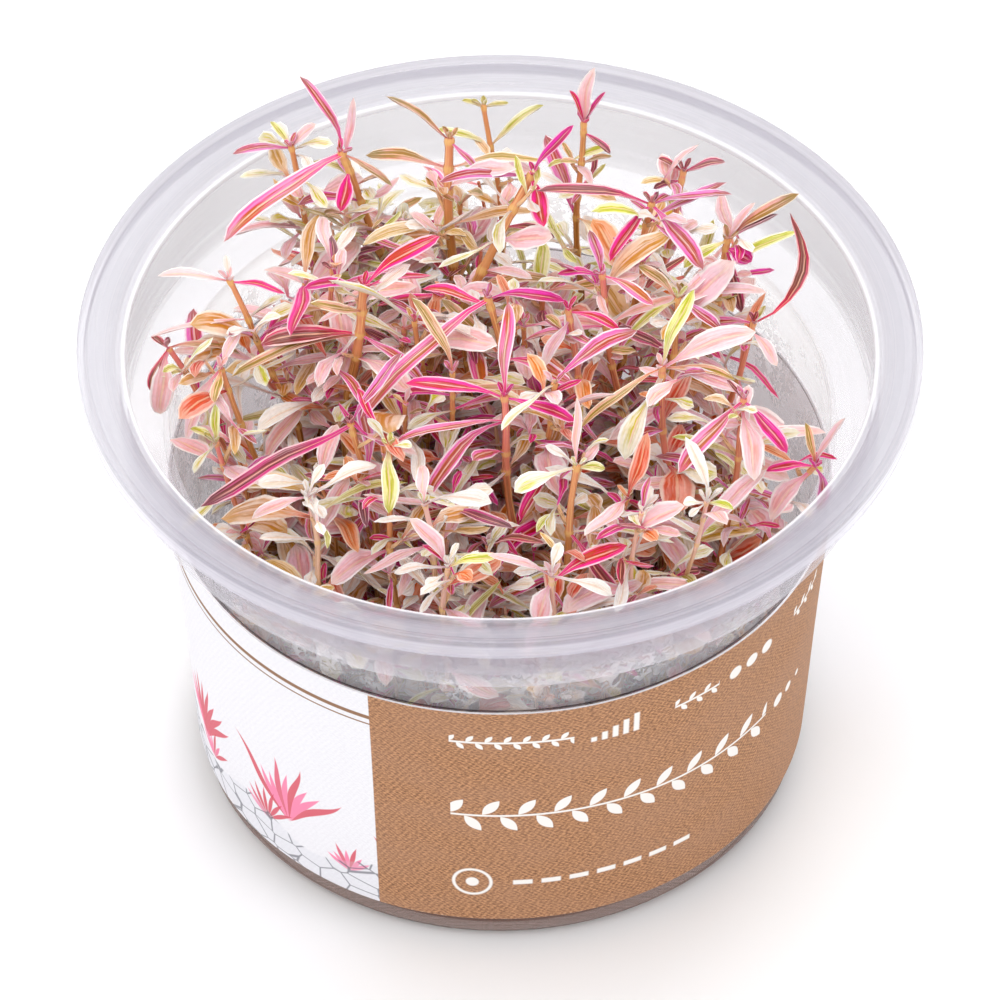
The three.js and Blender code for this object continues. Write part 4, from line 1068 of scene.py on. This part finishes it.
# Where the zones of the bed end: how high the deep one reaches and where it stops, and the front's, sides'
# and back's edges
DEEP_TOP, DEEP_FRONT = 46, -24
FRONT_ZONE, SIDE_ZONE, BACK_ZONE = -19, 20, 11
KINDS_BY_PLACE = {
    "back": {"green": 3.4, "olive": 1.8, "pale": 4, "cream": 3.2, "pink": 1.6, "hot": 0.7, "dark": 0.4, "white": 2.4,
             "tan": 1.6},
    "middle": {"pink": 3.6, "hot": 2.4, "pale": 3.4, "salmon": 2, "olive": 1.2, "dark": 0.4, "white": 1.6, "cream": 2,
               "tan": 1.2},
    "side": {"pale": 4.5, "pink": 2, "cream": 2.4, "white": 2.6, "salmon": 1.2, "hot": 0.7, "green": 1.4, "tan": 1.4},
    "front": {"white": 3.6, "cream": 3, "pale": 2.2, "salmon": 1.6, "pink": 1, "hot": 0.6, "dark": 0.3, "green": 1,
              "tan": 1.6},
    "deep": {"salmon": 3.4, "tan": 2.4, "pale": 3, "pink": 1.4, "white": 1.6, "cream": 1.6, "hot": 0.8, "olive": 0.6},
}


def kind_for(place, lots):
    """A leaf's kind by where it grows: greener at the back, paler at the front, salmon and tan deep down."""
    if place.z < DEEP_TOP and place.y > DEEP_FRONT:
        zone = "deep"
    elif place.y < FRONT_ZONE:
        zone = "front"
    elif abs(place.x) > SIDE_ZONE:
        zone = "side"
    else:
        zone = "back" if place.y > BACK_ZONE else "middle"
    kinds = KINDS_BY_PLACE[zone]
    return lots.choices(list(kinds), list(kinds.values()))[0]


def small_leaf(bm, layers, joint, azimuth, length, width, kind, lots, columns=4, rows=6):
    """A leaf that has no solid of its own. It is shortened until it stays inside the cup."""
    leaf = {"azimuth": azimuth, "rise": lots.uniform(-0.25, 0.75), "length": length,
            "bend": lots.uniform(-0.25, 0.25), "arch": lots.uniform(0.05, 0.36)}
    for _ in range(5):
        path, side = leaf_curve(joint, leaf)
        if path[2].xy.length + width / 2 < room_at(path[2].z) and path[2].z > GEL_TOP + 1:
            add_leaf(bm, layers, path, side, width, kind, lots.random(), columns, rows,
                     twist=lots.uniform(-0.6, 0.6), fold=lots.uniform(0.1, 0.4))
            return
        leaf["length"] *= 0.75


# Millimetres between one pair of leaves and the next at the least, and how many pairs have a side bud that
# opened
KNOT_SPACING = 2.4
BUD_SHARE = 0.7


def open_bud(bm, layers, joint, azimuth, lots):
    """A side bud that has opened beside a leaf: a short twig with two pairs of small leaves."""
    outward = Vector((math.cos(azimuth), math.sin(azimuth), 0))
    heading = (outward * lots.uniform(0.5, 1) + UP * lots.uniform(0.4, 1.2)).normalized()
    end = joint + heading * lots.uniform(1.6, 4.6)
    if end.xy.length > room_at(end.z) - 2:
        return
    twig = (joint, joint.lerp(end, 0.5) + outward * 0.4, end)
    points = [on_curve(twig, step / 3) for step in range(4)]
    add_stem(bm, layers, points, [0.34, 0.30, 0.26, 0.22], "pale", sides=4)
    for share in (0.6, 1):
        turn = lots.uniform(0, math.tau)
        for half in BOTH_SIDES:
            kind = kind_for(end, lots)
            wide = lots.uniform(0.8, 1.3) if LEAF_KINDS[kind][6] == "lance" else lots.uniform(1.1, 2.1)
            small_leaf(bm, layers, on_curve(twig, share), turn + half, lots.uniform(2.6, 6.2), wide, kind,
                       lots, rows=5)


def grow_shoot(number, curve, plan, shoot, node):
    lots = random.Random(100 + number)
    tree = KDTree(len(node.data.vertices))
    for index, vert in enumerate(node.data.vertices):
        tree.insert(vert.co / MM, index)
    tree.balance()
    bm, layers = new_growth()
    crown = curve[2]
    downs = sorted({leaf["down"] for leaf in plan})
    for leaf in plan:
        joint = solid_joint(curve, leaf["down"] + CROWN_DEPTH)
        for choice in LEAF_CHOICES:
            path, side = leaf_curve(joint, leaf, choice)
            if tree.find(path[2])[2] < TIP_MATCH:
                root = on_stem(curve, joint.z)
                path = (root, path[1] + (root - joint) * 0.5, path[2])
                kind = leaf["kind"] or kind_for(path[2], lots)
                fuller = 0.86 if leaf["kind"] else 0.78
                add_leaf(bm, layers, path, side, leaf["width"] * fuller, kind, lots.random(),
                         twist=lots.uniform(-0.6, 0.6), fold=lots.uniform(0.25, 0.6))
                break
    knots = [crown.z - down - CROWN_DEPTH for down in downs]
    azimuth = lots.uniform(0, math.tau)
    height = crown.z - lots.uniform(2.6, 4)
    while height > STEM_START + 4:
        joint = on_stem(curve, height)
        if min(abs(height - knot) for knot in knots) > KNOT_SPACING:
            knots.append(height)
            for half in BOTH_SIDES:
                kind = kind_for(joint, lots)
                wide = lots.uniform(2.0, 4.4) if LEAF_KINDS[kind][6] == "broad" else lots.uniform(1.0, 2.0)
                small_leaf(bm, layers, joint, azimuth + half + lots.uniform(-0.4, 0.4),
                           lots.uniform(5.5, 12), wide, kind, lots)
        if lots.random() < BUD_SHARE:
            open_bud(bm, layers, joint, azimuth + QUARTER_TURN + lots.choice(BOTH_SIDES), lots)
        azimuth += QUARTER_TURN
        high = crown.y > 6 and height > crown.z - 16
        height -= lots.uniform(2.6, 3.6) if high else lots.uniform(3.6, 6.0)
    for step in range(3):
        kind = plan[0]["kind"] or kind_for(crown, lots)
        tip = {"azimuth": azimuth + step * 2.2, "rise": lots.uniform(0.7, 1.3), "length": lots.uniform(1.3, 2.4),
               "bend": 0, "arch": 0.15}
        path, side = leaf_curve(crown - UP * 0.3, tip)
        add_leaf(bm, layers, path, side, 0.8, kind, lots.random(), columns=4, rows=4)
    finish, thickness = shoot["stem"] or (lots.choice(["ochre", "ochre", "red", "pale"]), lots.uniform(0.5, 0.85))
    points, radii, swells = stem_rings(curve, thickness, knots)
    add_stem(bm, layers, points, radii, finish, swells)
    close_up(bm)
    slot = "cream_leaf" if number % 3 == 0 else "pink_leaf"
    make_piece(f"plant_{number:02d}", bm, PLANT_FINISHES, slot, node.name)


def foot_of(node):
    """Where a solid's stem stands: the middle of its lowest corners."""
    lowest = min(vert.co.z for vert in node.data.vertices)
    feet = {tuple(round(value / MM, 3) for value in vert.co.xy) for vert in node.data.vertices
            if vert.co.z < lowest + 0.01 * MM}
    return Vector((sum(foot[0] for foot in feet), sum(foot[1] for foot in feet))) / len(feet)


planned = [*SHOWN_SHOOTS, *filling_shoots(SHOOT_COUNT - len(SHOWN_SHOOTS))]
solids = [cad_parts[name] for name in sorted(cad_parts) if name.startswith("shoot_")]
stems = []
number = 0
for index, shoot in enumerate(planned):
    if number == len(solids):
        break
    foot = foot_of(solids[number])
    choices = [Vector(shoot["foot"]) + Vector(choice) for choice in FOOT_CHOICES]
    place = min(choices, key=lambda choice: (choice - foot).length)
    if (place - foot).length < TIP_MATCH:
        stems.append(stem_curve(place, shoot["crown"]))
        number += 1
        grow_shoot(number, stems[-1], leaf_plan(shoot, index), shoot, solids[number - 1])

# Young growth
# Side shoots and seedling-like stems that came up round the feet of the grown ones, and a thick fringe of
# them along the front. They get smaller and creamier to the front, and none has a solid of its own.
YOUNG_PER_SHOOT = 5
YOUNG_PER_BACK_SHOOT = 8
BACK_START = 8
LEAFY_SHARE = 0.6
FRINGE_COUNT = 300
FRINGE_RADIUS = 34.2
FRINGE_CLEAR = 1.3
FRINGE_BACK = -11
FRINGE_TURN = 40
PATCH_FRONT, PATCH_BACK, PATCH_SIDE = -14, 10, 10


def young_height(foot, lots):
    """Young stems stay under the grown ones' crowns. They are tallest at the back and lowest at the front."""
    dome = 72 + 0.08 * foot.y + 0.22 * max(foot.y, 0) - 0.011 * foot.length ** 2
    high = 0.78 if foot.y < -14 else 0.84 if foot.y < 6 else 0.96
    return STEM_START + (dome - STEM_START) * lots.uniform(0.2, high)


def grow_young(bm, layers, foot, crown, lots):
    room = room_at(crown.z) - 2
    if crown.xy.length > room:
        crown.xy = crown.xy * (room / crown.xy.length)
    curve = stem_curve(foot, crown)
    azimuth = lots.uniform(0, math.tau)
    height = crown.z - 0.4
    size = lots.uniform(0.6, 1.15)
    lowest = crown.z - (crown.z - STEM_START) * LEAFY_SHARE
    while height > lowest:
        for half in BOTH_SIDES:
            kind = kind_for(Vector((crown.x, crown.y, height)), lots)
            wide = size * (lots.uniform(1.5, 3.4) if LEAF_KINDS[kind][6] != "lance" else lots.uniform(0.9, 1.7))
            small_leaf(bm, layers, on_stem(curve, height), azimuth + half + lots.uniform(-0.4, 0.4),
                       size * lots.uniform(3.2, 7.5), wide, kind, lots)
        azimuth += QUARTER_TURN
        height -= lots.uniform(3.4, 5.6)
    points, radii, _ = stem_rings(curve, lots.uniform(0.4, 0.62), [])
    finish = lots.choice(["pale", "pale", "red", "ochre"])
    add_stem(bm, layers, points[::2] + points[-1:], radii[::2] + radii[-1:], finish, sides=5)


def patch_of(foot):
    """The part of the bed where a young stem stands, which names the piece that it belongs to."""
    row = "front" if foot.y < PATCH_FRONT else "back" if foot.y > PATCH_BACK else "middle"
    return row + ("_left" if foot.x < -PATCH_SIDE else "_right" if foot.x > PATCH_SIDE else "")


lots = random.Random(7)
patches = {row + side: new_growth() for row in ("front", "middle", "back") for side in ("_left", "", "_right")}
for grown in stems:
    at_back = grown[0].y > BACK_START
    for _ in range(YOUNG_PER_BACK_SHOOT if at_back else YOUNG_PER_SHOOT):
        foot = grown[0].xy
        top = young_height(foot, lots)
        azimuth = lots.uniform(0, math.tau)
        outward = Vector((math.cos(azimuth), math.sin(azimuth), 0))
        crown = on_stem(grown, min(top, grown[2].z - 3)) + outward * lots.uniform(1.4, 5.2 if at_back else 3.6)
        grow_young(*patches[patch_of(foot)], foot + outward.xy * lots.uniform(0.9, 2.0), crown, lots)
for turn in range(FRINGE_COUNT):
    radius = FRINGE_RADIUS * math.sqrt((turn + 0.5) / FRINGE_COUNT)
    angle = math.radians(turn * GOLDEN_ANGLE + FRINGE_TURN)
    foot = Vector((radius * math.cos(angle), radius * math.sin(angle)))
    if foot.y < FRINGE_BACK and all((foot - grown[0].xy).length > FRINGE_CLEAR for grown in stems):
        top = young_height(foot, lots)
        crown = Vector((foot.x * 1.05 + lots.uniform(-4, 4), foot.y * 1.05 + lots.uniform(-4, 4), top))
        grow_young(*patches[patch_of(foot)], foot, crown, lots)
for name, (bm, layers) in patches.items():
    close_up(bm)
    make_piece(f"young_growth_{name}", bm, PLANT_FINISHES, "cream_leaf")

# Roots
# White threads that the stems send out over the jelly and down into it.
ROOT_COUNT = 420
ROOT_RADIUS = 0.12


def root_skin():
    finish, tree, shader = new_finish("root_skin")
    place = object_place(tree)
    mottle = noise(tree, place, 900, 2)
    colour = mix_colour(tree, mottle, paint(206, 184, 158), paint(250, 242, 230))
    dress(tree, shader, colour, ramp(tree, mottle, 0.3, 0.7, 0.35, 0.6))
    return finish


def grow_root(bm, layers, start, lots):
    """A thread that wanders from its start, either up through the air over the jelly or down inside it."""
    heading = Vector((lots.uniform(-1, 1), lots.uniform(-1, 1), lots.choice((-0.9, 0.35, 0.9)))).normalized()
    points = [start]
    for step in range(7):
        heading = (heading + Vector([lots.uniform(-0.45, 0.45) for _ in range(3)])).normalized()
        point = points[-1] + heading * lots.uniform(0.9, 1.7)
        if point.xy.length > body_radius(point.z) - WALL - 1.2 or point.z < gel_bottom + 0.6:
            break
        points.append(point)
    if len(points) > 2:
        radii = [ROOT_RADIUS * (1 - 0.6 * step / len(points)) for step in range(len(points))]
        add_stem(bm, layers, points, radii, "pale", sides=4)


bm, layers = new_growth()
lots = random.Random(11)
for _ in range(ROOT_COUNT):
    foot = lots.choice(stems)[0].xy + Vector((lots.uniform(-2.5, 2.5), lots.uniform(-2.5, 2.5)))
    if foot.length < 34:
        reach = 22 if foot.y < -18 else 7
        grow_root(bm, layers, Vector((foot.x, foot.y, GEL_TOP + lots.uniform(-0.3, reach))), lots)
for face in bm.faces:
    face.material_index = 0
close_up(bm)
make_piece("roots", bm, [root_skin()], "cream_leaf")

# Floor, light and camera
# A plain pale floor in an even white room, with soft boxes overhead, behind and at both sides.
FLOOR_SIZE = 12
CAMERA_LENS = 324
CAMERA_DISTANCE = 1081.65
CAMERA_ELEVATION = 45.077
CAMERA_AIM = Vector((0, 0, 38.10))
ROOM_LIGHT = 0.92
# Where each soft box hangs as seen from the cup, how many degrees it reaches from its middle, and how
# bright it is
SOFT_BOXES = [((-0.18, -0.12, 0.71), 25, 1.4), ((0.12, 0.55, 0.45), 17, 2.8), ((-0.5, -0.65, 0.36), 18, 1.1),
              ((0.6, -0.35, 0.31), 20, 0.9)]

floor_finish, tree, shader = new_finish("floor_paper")
floor_place = object_place(tree)
floor_mottle = noise(tree, floor_place, 3)
floor_colour = mix_colour(tree, floor_mottle, paint(238, 238, 239), paint(242, 242, 243))
tree.links.new(floor_colour, shader.inputs["Base Color"])
shader.inputs["Roughness"].default_value = 0.9
bm = bmesh.new()
bmesh.ops.create_grid(bm, x_segments=4, y_segments=4, size=FLOOR_SIZE / 2)
floor = new_object("floor", bm, [floor_finish])

world = bpy.data.worlds.new("studio")
bpy.context.scene.world = world
world.use_nodes = True
world.cycles.sampling_method = "NONE"
tree = world.node_tree
direction = add_node(tree, "ShaderNodeTexCoord").outputs["Generated"]
brightness = ROOM_LIGHT
for toward, wide, power in SOFT_BOXES:
    facing_box = add_node(tree, "ShaderNodeVectorMath", {0: direction, 1: Vector(toward).normalized()},
                          operation="DOT_PRODUCT").outputs["Value"]
    brightness = plus(tree, brightness, ramp(tree, facing_box, math.cos(math.radians(wide * 1.4)),
                                             math.cos(math.radians(wide * 0.6)), 0, power))
tree.nodes["Background"].inputs["Color"].default_value = (1, 1, 1, 1)
tree.links.new(brightness, tree.nodes["Background"].inputs["Strength"])

camera = bpy.data.objects.new("camera", bpy.data.cameras.new("camera"))
camera.data.sensor_width = 36
camera.data.lens = CAMERA_LENS
tilt = math.radians(CAMERA_ELEVATION)
camera.location = (CAMERA_AIM + Vector((0, -math.cos(tilt), math.sin(tilt))) * CAMERA_DISTANCE) * MM
camera.rotation_euler = (math.pi / 2 - tilt, 0, 0)
bpy.context.scene.collection.objects.link(camera)
bpy.context.scene.camera = camera
bpy.context.scene.view_settings.view_transform = "Standard"
